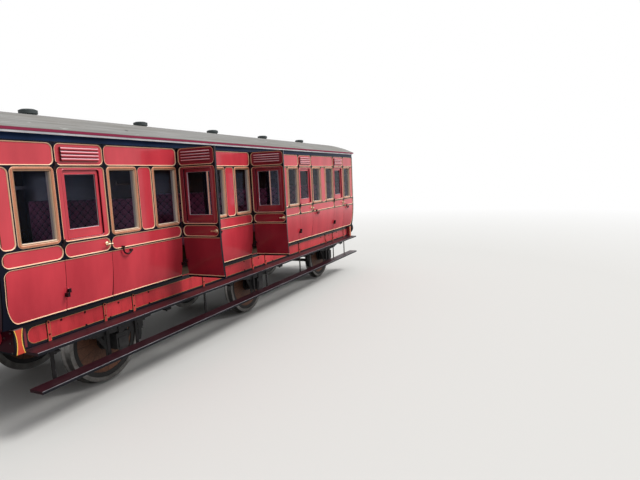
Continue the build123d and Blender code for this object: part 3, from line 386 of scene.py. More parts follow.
def solebarLines(f, colour, x, y, z):
    # on the outer face a long red panel with round ends, lined in gold; black round it, and a red strip beyond
    s = solebarLook
    edge = outline(x, z - s["middle"], s["halfLength"], s["halfHeight"], s["radius"])
    strip = abs(x).near(*s["strip"]) * z.near(s["middle"], s["stripHalfHeight"])
    colour = f.layered(colour, (edge > -s["line"], "dullGold"), (edge > 0.0, "black"), (strip, "solebarEnd"))
    return f.mixed(abs(y) > s["face"], lineTones["black"], colour)


headstockLook = {"endFace": 1.1650, "middle": (4.694, 1.030), "waist": 0.0255, "flare": 0.0180,
                 "halfHeight": 0.128, "line": 0.0042, "face": 4.7425, "wornAbove": 1.1560,
                 "panel": (1.140, 0.112, 0.030)}


def headstockLines(f, colour, x, y, z):
    # end faces: red between two yellow lines that bow in at the middle, and black outside them
    s = headstockLook
    rise = z - s["middle"][1]
    up = rise / s["halfHeight"]
    off = abs(abs(x) - s["middle"][0]) - (up * up).maths("MULTIPLY_ADD", s["flare"], s["waist"])
    painted = f.layered(lineTones["endRed"], (off > 0.0, "black"), (abs(off) < s["line"], "yellow"))
    # the outer face is maroon inside a black border
    f.dull = abs(x) > s["face"]
    border = f.dull * (outline(y, rise, *s["panel"]) > 0.0)
    return f.layered(colour, (abs(y) > s["endFace"], painted), (f.dull, "maroon"), (border, "black"),
                     (z > s["wornAbove"], "wornTop"))


strapLook = {"centres": (4.329, 3.583, 3.123, 1.6765, 0.230), "boardTop": 0.9115, "roundTop": 1.120,
             "half": 0.020, "line": 0.0030}


def strapLines(f, colour, x, y, z):
    # red above the upper footboard with a gold line down each edge, black iron below
    s = strapLook
    nearest = reduce(Field.least, [abs(abs(x) - centre) for centre in s["centres"]])
    away = reach(nearest, (z - s["roundTop"]).most(0.0))
    return f.layered(colour, (away > s["half"] - s["line"] * 1.6, "dullGold"),
                     (away > s["half"] - s["line"] * 0.5, "black"), (z < s["boardTop"], "strapIron"))


railLook = {"gutterFrom": 3.1105, "stripFrom": 3.1330, "gutter": ((0.40, 0.40, 0.43), (0.60, 0.59, 0.61))}


def railLines(f, colour, x, y, z):
    # cornice: black below, then the pale gutter, then a maroon top
    s = railLook
    worn = f.noise(8, detail=6, stretch=(0.5, 4, 4))
    return f.layered(colour, (z > s["gutterFrom"], f.ramp(worn, s["gutter"])), (z > s["stripFrom"], "stripMaroon"))


finishes = {name: iron(name) for name in ironLook}
finishes |= {name: paint(name) for name in ("crimson", "paintedShadeCrimson", "maroon", "black", "greyBand", "recess",
                                            "hinge")}
finishes |= {name + "Wood": wood(name, along) for name, along in (
    ("frame", "Z"), ("step", "Z"), ("bead", "Z"), ("lining", "Z"), ("floor", "X"), ("underframe", "X"))}
# columns: finish, look, the material's title, what is painted over it
finishes |= {name: paint(look, title=title, lines=lines) for name, look, title, lines in (
    ("crimsonWall", "crimson", "crimsonWall", wallLines), ("endWall", "maroon", "endWall", endLines),
    ("solebar", "solebar", "solebarPaint", solebarLines), ("headstock", "solebar", "headstockPaint", headstockLines),
    ("strap", "solebar", "strapPaint", strapLines), ("bufferRed", "solebar", "bufferRed", None),
    ("cornice", "eavesBlack", "eavesBlackPaint", railLines))}
finishes |= {"gold": paint("gold", ripple=0.02), "rackWood": wood("lining", "Y")}
print("paints, woods and irons mixed")


# Surface helpers. A part is its points, its quads and a tone for each quad; a piece's parts join into one mesh.
def gridQuads(rows, columns, closed=False):
    # quads of a grid whose columns may run round to the start
    r = np.arange(rows - 1)[:, None]
    c = np.arange(columns if closed else columns - 1)[None, :]
    n = (c + 1) % columns
    return np.stack([r * columns + c, r * columns + n, (r + 1) * columns + n, (r + 1) * columns + c],
                    axis=-1).reshape(-1, 4)


def joined(*axes):
    # points from their coordinates, each an array or one number for all
    return np.stack(np.broadcast_arrays(*axes), axis=-1)


def surface(points, closed=False, tone=0, facing=(0, -1, 0), around=None):
    # points is rows x columns x 3. Most of it looks along facing, or away from around: a middle for each point.
    flat = points.reshape(-1, 3)
    quads = gridQuads(*points.shape[:2], closed)
    a, b, c, d = [flat[quads[:, k]] for k in range(4)]
    way = facing if around is None else (a + b + c + d) - np.broadcast_to(around, flat.shape)[quads].sum(1)
    if (np.cross(c - a, d - b) * way).sum() < 0:
        quads = quads[:, ::-1]
    return flat, quads, np.full(len(quads), tone)


def placed(name, mesh, looks, body, replaces):
    for look in looks:
        mesh.materials.append(finishes[look])
    piece = linked(name, mesh)
    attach(piece, body)
    if replaces:
        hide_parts(*replaces)
    return piece


sharpFrom = math.radians(38)  # edges that bend more are not shaded smooth


def makePiece(name, parts, looks, body="root", smooth=True, replaces=()):
    # looks are the finishes that the parts' tones count through
    points, quads, tones = zip(*parts)
    starts = np.cumsum([0] + [len(p) for p in points[:-1]])
    quads = np.concatenate([q + start for q, start in zip(quads, starts)])
    mesh = bpy.data.meshes.new(name)
    mesh.from_pydata(np.concatenate(points).tolist(), [], quads.tolist())
    mesh.polygons.foreach_set("material_index", np.concatenate(tones).astype(np.int32))
    mesh.polygons.foreach_set("use_smooth", np.full(len(quads), smooth))
    mesh.update()
    if smooth:
        mesh.set_sharp_from_angle(angle=sharpFrom)
    placed(name, mesh, looks, body, replaces)


def moved(parts, matrix):
    # parts turned and shifted by a 4 x 4 matrix
    m = np.array(matrix)
    return [(p @ m[:3, :3].T + m[:3, 3], q, t) for p, q, t in parts]


halfTurn = Matrix.Rotation(math.pi, 4, "Z")


def doorPlace(number):
    # a closed near door about its own middle goes to its doorway, turned about its hinge
    hinge = Vector((coach["hingeX"], -(coach["halfWidth"] + coach["hingeStand"]), 0))
    angle = -math.radians(coach["openAngles"].get(number, 0.0))
    turn = Matrix.Translation(hinge) @ Matrix.Rotation(angle, 4, "Z") @ Matrix.Translation(-hinge)
    return Matrix.Translation((doorCentres[number - 1], 0, 0)) @ turn


def eachDoor():
    # every door: its name, its body and its place
    numbers = range(1, coach["doorCount"] + 1)
    for number in numbers:
        yield f"Near{number}", f"near_door_{number}", doorPlace(number)
    for number in numbers:
        yield f"Far{number}", f"far_door_{number}", halfTurn @ Matrix.Translation((doorCentres[-number], 0, 0))


def doorShade(door):
    # the two doors that stand open are painted a darker crimson, as a painted shade
    return "paintedShadeCrimson" if door in [f"Near{number}" for number in coach["openAngles"]] else "crimson"


def bothSides(name, parts, looks, node):
    # the near side's piece, and the same turned half round for the far side
    makePiece(name + "Near", parts, looks, replaces=(node,))
    makePiece(name + "Far", moved(parts, halfTurn), looks, replaces=(node,))


def onDoors(name, parts, looks):
    # a piece for every door, with the door's own shade for crimson
    for door, body, place in eachDoor():
        shades = [doorShade(door) if look == "crimson" else look for look in looks]
        makePiece(name + door, moved(parts, place), shades, body)


def sideY(z):
    # the side's distance from the middle: straight above the waist, an arc below it
    drop = np.maximum(0.0, coach["turnStart"] - np.asarray(z, float))
    return coach["halfWidth"] - turnRadius + np.sqrt(turnRadius ** 2 - drop ** 2)


def onSide(x, z, proud):
    # points on the near side, standing off the panel face
    return joined(x, -(sideY(z) + proud), z)


def panelPath(cell, tile, steps=6, uprights=1, openLeft=False, openRight=False, sweep=None):
    # a panel's rounded outline: runs of its points, outward normals and the tile's edge beyond each.
    # The corners are circular, and the lower ones elliptical where a sweep (half width, half height) is given.
    x0, x1, z0, z1, radius = cell
    left, right, low, high = tile
    rx, rz = sweep or (radius, radius)
    quarter, tiny, huge = math.pi / 2, 1e-9, 1e9

    def corner(x, z, start, edgeX, edgeZ, a=radius, b=radius):
        # a quarter turn, with the direction of the tile's own corner among its angles
        towards = math.atan2((edgeZ - z) / b, (edgeX - x) / a)
        towards += 2 * math.pi if towards < start - 1e-6 else 0
        angles = np.linspace(start, start + quarter, steps + 1)
        turn = np.sort(np.append(angles, np.clip(towards, start, start + quarter)))
        ray = joined(a * np.cos(turn), b * np.sin(turn))
        normal = ray / np.array([a * a, b * b])
        normal /= np.linalg.norm(normal, axis=1)[:, None]
        # each ray runs on to the nearer of the tile's two edges
        middle = np.array([x, z])
        times = np.where(np.abs(ray) > tiny, (np.array([edgeX, edgeZ]) - middle) / np.where(ray == 0, 1, ray), huge)
        times = np.where(times > 0, times, huge).min(axis=1)
        return middle + ray, normal, middle + times[:, None] * ray

    def upright(x, za, zb, edge):
        # extra points on a straight side, so that it follows the side's curve
        z = np.linspace(za, zb, uprights + 1)[1:-1]
        normal = np.tile([1.0 if edge > x else -1.0, 0.0], (len(z), 1))
        return joined(x, z), normal, joined(edge, z)

    def end(x, z, edge):
        return np.array([[x, z]]), np.array([[0.0, 1.0 if edge > z else -1.0]]), np.array([[x, edge]])

    rightSide = [corner(x1 - rx, z0 + rz, -quarter, right, low, rx, rz), upright(x1, z0 + rz, z1 - radius, right),
                 corner(x1 - radius, z1 - radius, 0.0, right, high)]
    leftSide = [corner(x0 + radius, z1 - radius, quarter, left, high), upright(x0, z1 - radius, z0 + rz, left),
                corner(x0 + rx, z0 + rz, math.pi, left, low, rx, rz)]
    if openLeft and openRight:
        runs = [[end(left, z0, low), end(right, z0, low)], [end(right, z1, high), end(left, z1, high)]]
    elif openRight:
        runs = [[end(right, z1, high), *leftSide, end(right, z0, low)]]
    elif openLeft:
        runs = [[end(left, z0, low), *rightSide, end(left, z1, high)]]
    else:
        runs = [rightSide + leftSide]
    return [(*map(np.concatenate, zip(*run)), not (openLeft or openRight)) for run in runs]


# Mouldings: black from the tile's edge to the panel, with a gold shoulder rolling down to it. The shoulder starts
# a lap outside the panel's edge; round a window it shifts further out, onto the moulding's flat.
moulding = {"proud": 0.0088, "goldWidth": 0.0100, "lap": 0.0016, "windowShift": 0.0030, "skirt": -0.0004,
            "gap": 0.0002, "crown": ((0.0, 0.0), (0.25, 0.0006), (0.75, 0.0006), (1.0, 0.0), (1.0, -0.0088)),
            "shoulderSteps": 5}


def mouldingParts(cell, tile, onWindow=False, **shape):
    m = moulding
    lap = m["lap"] + (m["windowShift"] if onWindow else 0)
    if onWindow:
        # flat gold band with a soft crown, ending against the window frame
        band = [(lap - (lap - m["gap"]) * share, m["proud"] + rise) for share, rise in m["crown"]]
    else:
        # quarter round: goes in by a sine and down by a cosine
        band = [(lap - m["goldWidth"] * math.sin(a), m["proud"] * math.cos(a) + m["gap"])
                for a in np.linspace(0, math.pi / 2, m["shoulderSteps"])]
    parts = []
    for points, normals, edges, closed in panelPath(cell, tile, **shape):
        black = [(edges, m["skirt"]), (edges, m["proud"]), (points + normals * lap, m["proud"])]
        gold = [(points + normals * out, proud) for out, proud in band]
        for tone, rows in enumerate((black, gold)):
            grid = np.stack([onSide(p[:, 0], p[:, 1], proud) for p, proud in rows])
            parts.append(surface(grid, closed, tone))
    return parts


# Rows of panelling: low, high and corner radius of the panels, and the lines halfway between the rows
panelRows = {
    "lower": (1.208, 1.769, 0.075, (coach["bodyBottom"], 1.778)),
    "waist": (1.787, 1.942, 0.072, (1.778, 1.9535)),
    "window": (1.965, 2.775, 0.048, (1.9535, 2.785)),
    "eaves": (2.795, 3.028, 0.062, (2.785, coach["sideTop"])),
}
bayShape = {"doorwayHalf": 0.324, "panelMargin": 0.008, "cornerMargin": 0.036, "windowNear": 0.348,
            "windowFar": 0.815, "narrowHalf": 0.116, "narrowRadius": 0.058, "sweep": (0.130, 0.290),
            "sweepSteps": 12, "uprights": 8}


def inRow(row, left, right, start, stop, corner=None):
    # a panel of a row, and its tile from start to stop
    low, high, radius, lines = panelRows[row]
    return (left, right, low, high, corner or radius), (start, stop, *lines)


def bayTiles(x0, x1, openLeft, openRight):
    # the panels of one bay with their tiles: (cell, tile, on a window, shape)
    b = bayShape
    left = x0 + (b["panelMargin"] if openLeft else b["cornerMargin"])
    right = x1 - (b["panelMargin"] if openRight else b["cornerMargin"])
    lower = {"openLeft": openLeft, "openRight": openRight, "uprights": b["uprights"]}
    if not (openLeft and openRight):
        lower |= {"sweep": b["sweep"], "steps": b["sweepSteps"]}
    for row, shape in (("waist", {}), ("eaves", {}), ("lower", lower)):
        yield *inRow(row, left, right, x0, x1), False, shape
    # the window row from left to right: windows and a narrow panel, with lines halfway between them
    spans = [(centre + a, centre + c, True) for centre in doorCentres
             for a, c in ((-b["windowFar"], -b["windowNear"]), (b["windowNear"], b["windowFar"]))
             if x0 < centre + a < x1]
    toMiddle = coach["doorPitch"] / 2 - b["doorwayHalf"]
    middle = x1 - toMiddle if openRight else x0 + toMiddle
    spans.append((middle - b["narrowHalf"] if openLeft else left, middle + b["narrowHalf"] if openRight else right,
                  False))
    spans.sort()
    lines = [x0] + [(p[1] + q[0]) / 2 for p, q in zip(spans, spans[1:])] + [x1]
    for (a, c, isWindow), start, stop in zip(spans, lines, lines[1:]):
        yield *inRow("window", a, c, start, stop, None if isWindow else b["narrowRadius"]), isWindow, {}


def makeSideMouldings():
    starts = [-coach["bodyHalf"], *(doorCentres + bayShape["doorwayHalf"])]
    stops = [*(doorCentres - bayShape["doorwayHalf"]), coach["bodyHalf"]]
    parts = []
    for k, (x0, x1) in enumerate(zip(starts, stops)):
        for cell, tile, onWindow, shape in bayTiles(x0, x1, k > 0, k < coach["doorCount"]):
            parts += mouldingParts(cell, tile, onWindow, **shape)
    bothSides("mouldings", parts, ("black", "gold"), "beading")


makeSideMouldings()
print("side mouldings lined out")

doorShape = {"half": 0.319, "panelHalf": 0.3075, "top": 3.035}


def makeDoorMouldings():
    half, panelHalf, top = doorShape.values()
    parts = []
    for row in ("waist", "window", "eaves", "lower"):
        cell, (left, right, low, high) = inRow(row, -panelHalf, panelHalf, -half, half)
        shape = {"openLeft": True, "openRight": True} if row == "lower" else {}
        parts += mouldingParts(cell, (left, right, low, min(high, top)), **shape)
    onDoors("doorMouldings", parts, ("black", "gold"))


makeDoorMouldings()
print("door mouldings lined out")

leastRadius = 0.0015          # a corner's, however far the profile is inset


def framedOpening(opening, radius, profile, tone=0, steps=5):
    # a profile of (inset from the edge, height off the panel) carried round a rounded rectangle
    x0, x1, z0, z1 = opening
    a = np.concatenate([np.linspace(s, s + math.pi / 2, steps + 1) for s in np.arange(4) * math.pi / 2])
    rows = []
    for inset, proud in profile:
        r = max(radius - inset, leastRadius)
        cx = np.repeat([x1 - inset - r, x0 + inset + r, x0 + inset + r, x1 - inset - r], steps + 1)
        cz = np.repeat([z1 - inset - r, z1 - inset - r, z0 + inset + r, z0 + inset + r], steps + 1)
        rows.append(onSide(cx + r * np.cos(a), cz + r * np.sin(a), proud))
    return surface(np.stack(rows), True, tone)


# Quarter windows: an outer moulding in two orange bands parted by a dark line, a dark step, a pale bead and a lining
# through the wall; the dark line and the step are a painted shade.
# Each band has its tone and its profile.
windowFrame = {
    "outer": (0, [(0.0003, 0.0), (0.0003, 0.0095), (0.0016, 0.0128), (0.0050, 0.0140), (0.0105, 0.0138)]),
    "line": (1, [(0.0105, 0.0138), (0.0118, 0.0122), (0.0131, 0.0136)]),
    "inner": (0, [(0.0131, 0.0136), (0.0180, 0.0136), (0.0215, 0.0128), (0.0240, 0.0100)]),
    "step": (1, [(0.0240, 0.0100), (0.0260, 0.0066), (0.0285, 0.0066)]),
    "bead": (2, [(0.0285, 0.0066), (0.0310, 0.0078), (0.0350, 0.0072), (0.0390, 0.0048), (0.0414, 0.0010),
                 (0.0420, -0.0060), (0.0420, -0.0595), (0.0306, -0.0600)]),
}


def makeWindowFrames():
    low, high, radius, lines = panelRows["window"]
    near, far = bayShape["windowNear"], bayShape["windowFar"]
    parts = [framedOpening((centre + a, centre + b, low, high), radius, profile, tone)
             for centre in doorCentres for a, b in ((-far, -near), (near, far))
             for tone, profile in windowFrame.values()]
    bothSides("windowFrames", parts, ("frameWood", "stepWood", "beadWood"), "window_frames")


makeWindowFrames()

# Droplights: a rolled edge to the recess, its wall painted dark as a painted shade, a bevel round the glass and a thin
# pale glazing line
droplight = {
    "recess": ((-0.242, 0.242, 1.985, 2.745), 0.030),
    "edge": [(-0.0110, 0.0003), (-0.0085, 0.0030), (-0.0040, 0.0046), (-0.0008, 0.0036), (0.0006, 0.0002),
             (0.0006, -0.0030)],
    "wall": [(0.0006, -0.0030), (0.0006, -0.0196), (0.0050, -0.0197)],
    "glass": ((-0.200, 0.200, 2.090, 2.695), 0.002),
    "bevel": [(-0.0160, -0.0196), (-0.0120, -0.0180), (-0.0060, -0.0176), (-0.0010, -0.0200), (0.0006, -0.0240),
              (0.0006, -0.0300)],
    "line": [(0.0004, -0.0290), (0.0006, -0.0340), (0.0034, -0.0345), (0.0044, -0.0358)],
}


def makeDroplights():
    # columns: opening, profile, tone, steps in each corner
    parts = [framedOpening(*droplight[opening], droplight[profile], tone, steps) for opening, profile, tone, steps in (
        ("recess", "edge", 0, 5), ("recess", "wall", 2, 5), ("glass", "bevel", 0, 2), ("glass", "line", 1, 2))]
    onDoors("droplight", parts, ("crimson", "greyBand", "recess"))


makeDroplights()
print("windows framed")


# Round pieces
def rings(axes, sides):
    # circles of radius one, each square to its axis
    first = [0.0, 0.0, 1.0] if abs(axes[0, 2]) < 0.9 else [1.0, 0.0, 0.0]
    u = np.cross(axes, first)
    u /= np.linalg.norm(u, axis=1)[:, None]
    v = np.cross(axes, u)
    a = np.linspace(0, 2 * math.pi, sides, endpoint=False)[:, None]
    return np.cos(a) * u[:, None] + np.sin(a) * v[:, None]


def turned(profile, start, axis, sides, tone=0):
    # a profile of (radius, distance) spun about a line
    axis = np.asarray(axis, float)
    radius, distance = np.asarray(profile, float).T[:, :, None, None]
    points = np.asarray(start) + radius * rings(axis[None], sides) + distance * axis
    return surface(points, True, tone, around=points.reshape(-1, 3).mean(0))


def bar(path, radius, sides):
    # a round bar along points, closed at both ends by a ring of no size
    axes = np.gradient(path, axis=0)
    axes /= np.linalg.norm(axes, axis=1)[:, None]
    path, axes = [np.pad(rows, ((1, 1), (0, 0)), "edge") for rows in (path, axes)]
    points = path[:, None] + np.pad(radius, 1)[:, None, None] * rings(axes, sides)
    return surface(points, True, around=np.repeat(path, sides, axis=0))


def studs(centres, axis, radius, height, tone=0):
    # many bolt heads at once: each a short six-sided prism with a bevelled top
    profile = [(radius, 0.0), (radius, 0.65 * height), (0.78 * radius, height), (0.0, height)]
    flat, quads, tones = turned(profile, (0, 0, 0), axis, 6, tone)
    points = (np.asarray(centres, float)[:, None] + flat).reshape(-1, 3)
    faces = (quads + (np.arange(len(centres)) * len(flat))[:, None, None]).reshape(-1, 4)
    return points, faces, np.full(len(faces), tone)


# Door furniture: the T-handle on its rose, and dark covers on the door's halves of the hinges.
# The bar's radius has a bulge at the middle and one near each end: (height, place, width).
furniture = {
    "handle": (0.262, 1.864), "inner": 0.057, "outer": 0.047, "stand": 0.044,
    "rose": [(0.0, 0.010), (0.012, 0.010), (0.020, 0.007), (0.028, 0.003), (0.028, -0.001)],
    "spindle": [(0.0115, 0.0), (0.0095, 0.012), (0.0100, 0.036), (0.0125, 0.044)],
    "barRadius": 0.0098, "bulges": ((0.0032, 0.0, 0.22), (0.0022, 0.9, 0.1)),
    "hinges": (1.406, 1.953, 2.785), "knuckle": 0.0078, "length": 0.044, "over": 0.0003,
    "leaf": 0.0255, "leafProud": 0.0036, "leafBack": 0.0090,
}


def makeDoorFurniture():
    s = furniture
    face = -coach["halfWidth"]
    x, z = s["handle"]
    t = np.linspace(-1, 1, 15)
    path = joined(x + t * np.where(t < 0, s["inner"], s["outer"]), face - s["stand"], z)
    swell = s["barRadius"] + sum(h * np.exp(-((np.abs(t) - at) / width) ** 2) for h, at, width in s["bulges"])
    parts = [turned(s["rose"], (x, face, z), (0, -1, 0), 18), turned(s["spindle"], (x, face, z), (0, -1, 0), 14),
             bar(path, swell, 12)]
    half, y = s["length"] / 2, face - coach["hingeStand"]
    for z in s["hinges"]:
        knuckle = [(0.0, -half), (s["knuckle"], -half), (s["knuckle"], half), (0.0, half)]
        parts.append(turned(knuckle, (coach["hingeX"], y, z + half), (0, 0, 1), 14, tone=1))
        # the leaf folds from the knuckle back to the door: a strip bent at its middle, capped at both ends
        back = -float(sideY(z)) - s["leafBack"]
        xs = coach["hingeX"] + np.array([0.0, s["leaf"], s["leaf"]])
        ys = np.array([y - s["leafProud"], y - s["leafProud"], back])
        levels = (z, z + s["length"] + s["over"])
        strip = np.stack([joined(xs, ys, level) for level in levels])
        parts.append(surface(strip, tone=1))
        for way, (first, second, third) in zip((-1, 1), strip):
            cap = np.array([[first, second], [(first[0], y, first[2]), third]])
            parts.append(surface(cap, tone=1, facing=(0, 0, way)))
    onDoors("doorFurniture", parts, ("handleBrass", "hinge"))


makeDoorFurniture()
print("door furniture fitted")

# Bolts through the solebars, the footboard straps and the headstocks: each kind has its face, its places, and
# the radius and height of its heads
solebarBolts = {
    "face": 1.099, "byAxle": ((-0.506, 1.101), (-0.506, 0.947), (-0.152, 0.941), (-0.012, 1.087), (0.152, 0.941),
                              (0.506, 1.101), (0.506, 0.947)),
    "single": (4.168, 1.100), "head": (0.0125, 0.011),
    "strapFace": 1.111, "strapLevels": (1.120, 0.985), "strapHead": (0.0105, 0.008),
    "endFace": 4.743, "endPlaces": ((1.112, 1.128), (1.096, 1.021), (1.112, 0.918), (1.006, 1.067), (0.440, 1.120),
                                    (0.440, 0.935)), "endHead": (0.0100, 0.009),
}


def makeSolebarBolts():
    s, sides = solebarBolts, (-1, 1)
    places = [(axle + dx, z) for axle in axlePlaces for dx, z in s["byAxle"]]
    places += [(side * s["single"][0], s["single"][1]) for side in sides]
    parts = []
    for sign in sides:
        solebar = [(x, sign * s["face"], z) for x, z in places]
        straps = [(side * x, sign * s["strapFace"], z) for side in sides for x in strapLook["centres"]
                  for z in s["strapLevels"]]
        ends = [(sign * s["endFace"], side * y, z) for side in sides for y, z in s["endPlaces"]]
        parts += [studs(solebar, (0, sign, 0), *s["head"]), studs(straps, (0, sign, 0), *s["strapHead"], tone=1),
                  studs(ends, (sign, 0, 0), *s["endHead"], tone=2)]
    makePiece("solebarBolts", parts, ("hinge", "maroon", "wornSteel"), smooth=False)


makeSolebarBolts()

# A low knob on the roof beside each lamp
roofKnob = {"shift": -0.045, "profile": ((0.0, 0.030), (0.010, 0.029), (0.016, 0.023), (0.014, 0.015),
                                         (0.010, 0.008), (0.022, 0.002), (0.022, -0.004))}


def makeRoofKnobs():
    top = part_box("roof")[1].z
    parts = [turned(roofKnob["profile"], (x + roofKnob["shift"], 0, top), (0, 0, 1), 12) for x in doorCentres]
    makePiece("roofKnobs", parts, ("lampIron",))


makeRoofKnobs()
print("bolts and knobs set")


# Glass: clear, with a faint smoky tint and the slightest waviness
def glass():
    f = Finish("windowGlass")
    return f.done(f.noise(3.0, detail=1), 0.05, 0.002, roughness=f.between(f.noise(30), 0.0, 0.025), ior=1.135,
                  colour=f.mixed(f.noise(1.2, detail=2), (0.62, 0.66, 0.80), (0.76, 0.79, 0.92)),
                  transmission=1.0, specularTint=(0.40, 0.60, 1.0))


# Roof canvas: grey-beige paint with lengthwise streaks, scuffs and a few stains, and a maroon strip at its edge
roofLook = {"tones": ((0.130, 0.128, 0.122), (0.220, 0.218, 0.212), (0.315, 0.314, 0.306)),
            "scuff": (0.48, 0.48, 0.48), "stain": (0.17, 0.15, 0.12), "stripTop": 3.1630, "stripIn": 1.262,
            "mark": (-2.966, -1.097), "markRadius": 0.022, "markTone": (0.03, 0.03, 0.035),
            "under": (0.05, 0.03, 0.02)}


def roofCanvas():
    s = roofLook
    f = Finish("roofCanvas")
    streaks = f.noise(2.6, detail=8, rough=0.72, stretch=(0.30, 9, 9))
    blotch = f.noise(1.3, detail=6, rough=0.6, stretch=(1, 1.5, 1))
    scuffs = f.noise(4.5, detail=5, rough=0.6, warp=0.8, stretch=(1.2, 5, 5))
    x, y, z = f.split()
    colour = f.layered(
        f.ramp(streaks, s["tones"], (0.28, 0.5, 0.75)), (f.between(blotch, 0, 0.45, 0.45, 0.75), s["stain"]),
        (f.between(scuffs, 0, 0.8, 0.64, 0.74), s["scuff"]),
        (reach(x - s["mark"][0], y - s["mark"][1]) < s["markRadius"], s["markTone"]),
        ((z < s["stripTop"]) * (abs(y) > s["stripIn"]), "stripMaroon"), (f.split(f.facing)[2] < -0.4, s["under"]))
    return f.done(f.noise(60, stretch=(1, 3, 3)), 0.3, 0.002, colour=colour, roughness=0.78, specular=0.3)


# Footboards: dark maroon planks, scuffed, with a pale line along the top outer edge
footboardLook = {"outer": 1.349, "upperTop": 0.910, "lowerTop": 0.500, "paleEdgeWidth": 0.0055, "paleEdgeDrop": 0.004,
                 "frontDepth": 0.0005, "tones": ((0.014, 0.004, 0.007), (0.050, 0.012, 0.018)),
                 "tread": (0.10, 0.075, 0.075), "front": (0.010, 0.010, 0.014), "worn": (0.34, 0.34, 0.37)}


def footboardFinish():
    s = footboardLook
    f = Finish("footboard")
    x, y, z = f.split()
    grain = f.noise(3, detail=7, rough=0.65, stretch=(1.2, 20, 20))
    tread = f.noise(5, detail=6, rough=0.6, stretch=(0.8, 3, 3))
    drop = abs(z - s["upperTop"]).least(abs(z - s["lowerTop"]))
    # a pale line along the top outer edge of each board
    edge = (abs(y) > s["outer"] - s["paleEdgeWidth"]) * (drop < s["paleEdgeDrop"])
    colour = f.layered(f.ramp(grain, s["tones"]), (f.between(tread, 0, 0.45, 0.55, 0.78), s["tread"]),
                       (abs(y) > s["outer"] - s["frontDepth"], s["front"]),
                       (edge * f.between(grain, 0.4, 1.0, 0.35, 0.55), s["worn"]))
    return f.done(grain, 0.25, 0.0015, colour=colour, roughness=f.between(grain, 0.24, 0.50), specular=0.22)


# Wheel discs: sixteen wooden segments round an iron hub, in dark varnish
wheelLook = {"segments": 16, "joint": 0.016, "hub": 0.132, "rim": 0.427, "jointTone": (0.02, 0.008, 0.005),
             "tones": ((0.105, 0.040, 0.022), (0.20, 0.085, 0.045)), "iron": (0.018, 0.017, 0.017)}


def wheelFinish(number, centreX):
    s = wheelLook
    f = Finish(f"wheelDisc{number}")
    x, y, z = f.split(f.mapped(shift=(-centreX, 0, -coach["axleHeight"])))
    share = (z.maths("ARCTAN2", x) * (s["segments"] / (2 * math.pi))).maths("FRACT")
    radius = reach(x, z)
    grain = f.noise(4, detail=6, rough=0.6, warp=0.6, stretch=(8, 8, 8))
    # a joint lies where the share of a segment is nearly 0 or nearly 1
    joint = abs(share - 0.5) > 0.5 - s["joint"]
    colour = f.layered(f.ramp(grain, s["tones"]), (joint, s["jointTone"]),
                       ((radius < s["hub"]).most(radius > s["rim"]), s["iron"]))
    return f.done(grain, 0.15, 0.001, colour=colour, roughness=f.between(grain, 0.35, 0.6))


# Seat cloth: maroon moquette with a fine weave and a soft sheen; on the backs the folds and buttons are darkened as a
# painted shade
buttonStep = {"across": 0.150, "up": 0.120}
# fold is the dark tone of the painted shade in the folds and at the buttons
clothLook = {"tones": ((0.36, 0.075, 0.135), (0.56, 0.140, 0.220)), "weave": (0.13, 0.024, 0.050),
             "fold": (0.030, 0.008, 0.018)}


def seatCloth(name, folds):
    s = clothLook
    f = Finish(name)
    warp, weft = [f.noise(160, detail=1, stretch=scale) for scale in ((1, 1, 6), (6, 6, 1))]
    weave = warp * weft
    colour = f.ramp(f.noise(5, detail=5), s["tones"])
    colour = f.mixed(f.between(weave, 0, 0.4, 0.15, 0.45), colour, s["weave"])
    if folds:
        # folds run along the two diagonals through the buttons: the distance to the nearest of each; folds and buttons
        # are darkened as a painted shade
        x, y, z = f.split()
        across, up = y / buttonStep["across"], (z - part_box("seat_backs")[0].z) / buttonStep["up"]
        first, second = [diagonal.maths("PINGPONG", 0.5) for diagonal in (across + up, across - up)]
        fold = f.between(first.least(second), 0.55, 0, 0.02, 0.13)
        button = f.between(first.most(second), 1, 0, 0.09, 0.14)
        colour = f.mixed(fold.most(button), colour, s["fold"])
    return f.done(weave, 0.35, 0.0012, colour=colour, roughness=0.85, sheen=0.3, sheenRoughness=0.4)


finishes |= {"glass": glass(), "roof": roofCanvas(), "footboard": footboardFinish(),
             "seatBack": seatCloth("seatBackCloth", True), "seatCushion": seatCloth("seatCushionCloth", False)}

# Finishes of the solids that stay as they are
solidFinishes = {
    "blackIron": ["axleguards", "axleboxes", "springs", "spring_hangers", "brake_gear", "vacuum_cylinder", "end_irons"],
    "wornSteel": ["buffer_heads", "couplings"], "tyreSteel": [], "lampIron": ["lamp_tops"],
    "solebar": ["solebars"], "headstock": ["headstocks"], "bufferRed": ["buffer_housings"], "strap": ["step_irons"],
    "footboard": ["footboards_upper", "footboards_lower"], "underframeWood": ["underframe_members"],
    "maroon": ["vacuum_pipes"], "hinge": ["door_ironwork"], "crimsonWall": ["side_near", "side_far"],
    "endWall": ["end_left", "end_right"], "cornice": ["cornices"], "roof": ["roof"], "glass": ["window_glass"],
    "floorWood": ["floor"], "liningWood": ["partitions", "seat_bases"], "rackWood": ["luggage_racks"],
}
for name, body, place in eachDoor():
    side, number = body.split("_door_")
    finishes["door" + name] = paint(doorShade(name), place=place, title="door" + name, lines=doorLines)
    solidFinishes["door" + name] = [f"door_{side}_{number}"]
    solidFinishes["glass"].append(f"door_glass_{side}_{number}")
for number, x in enumerate(axlePlaces, 1):
    finishes[f"wheel{number}"] = wheelFinish(number, float(x))
    solidFinishes[f"wheel{number}"] = [f"wheelset_{number}"]
    solidFinishes["tyreSteel"].append(f"tyres_{number}")


def dressSolids():
    for finish, nodes in solidFinishes.items():
        for solid in [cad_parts[node] for node in nodes]:
            if not solid.material_slots:
                solid.data.materials.append(finishes[finish])
            for place in solid.material_slots:
                place.material = finishes[finish]


dressSolids()
print("solids dressed")

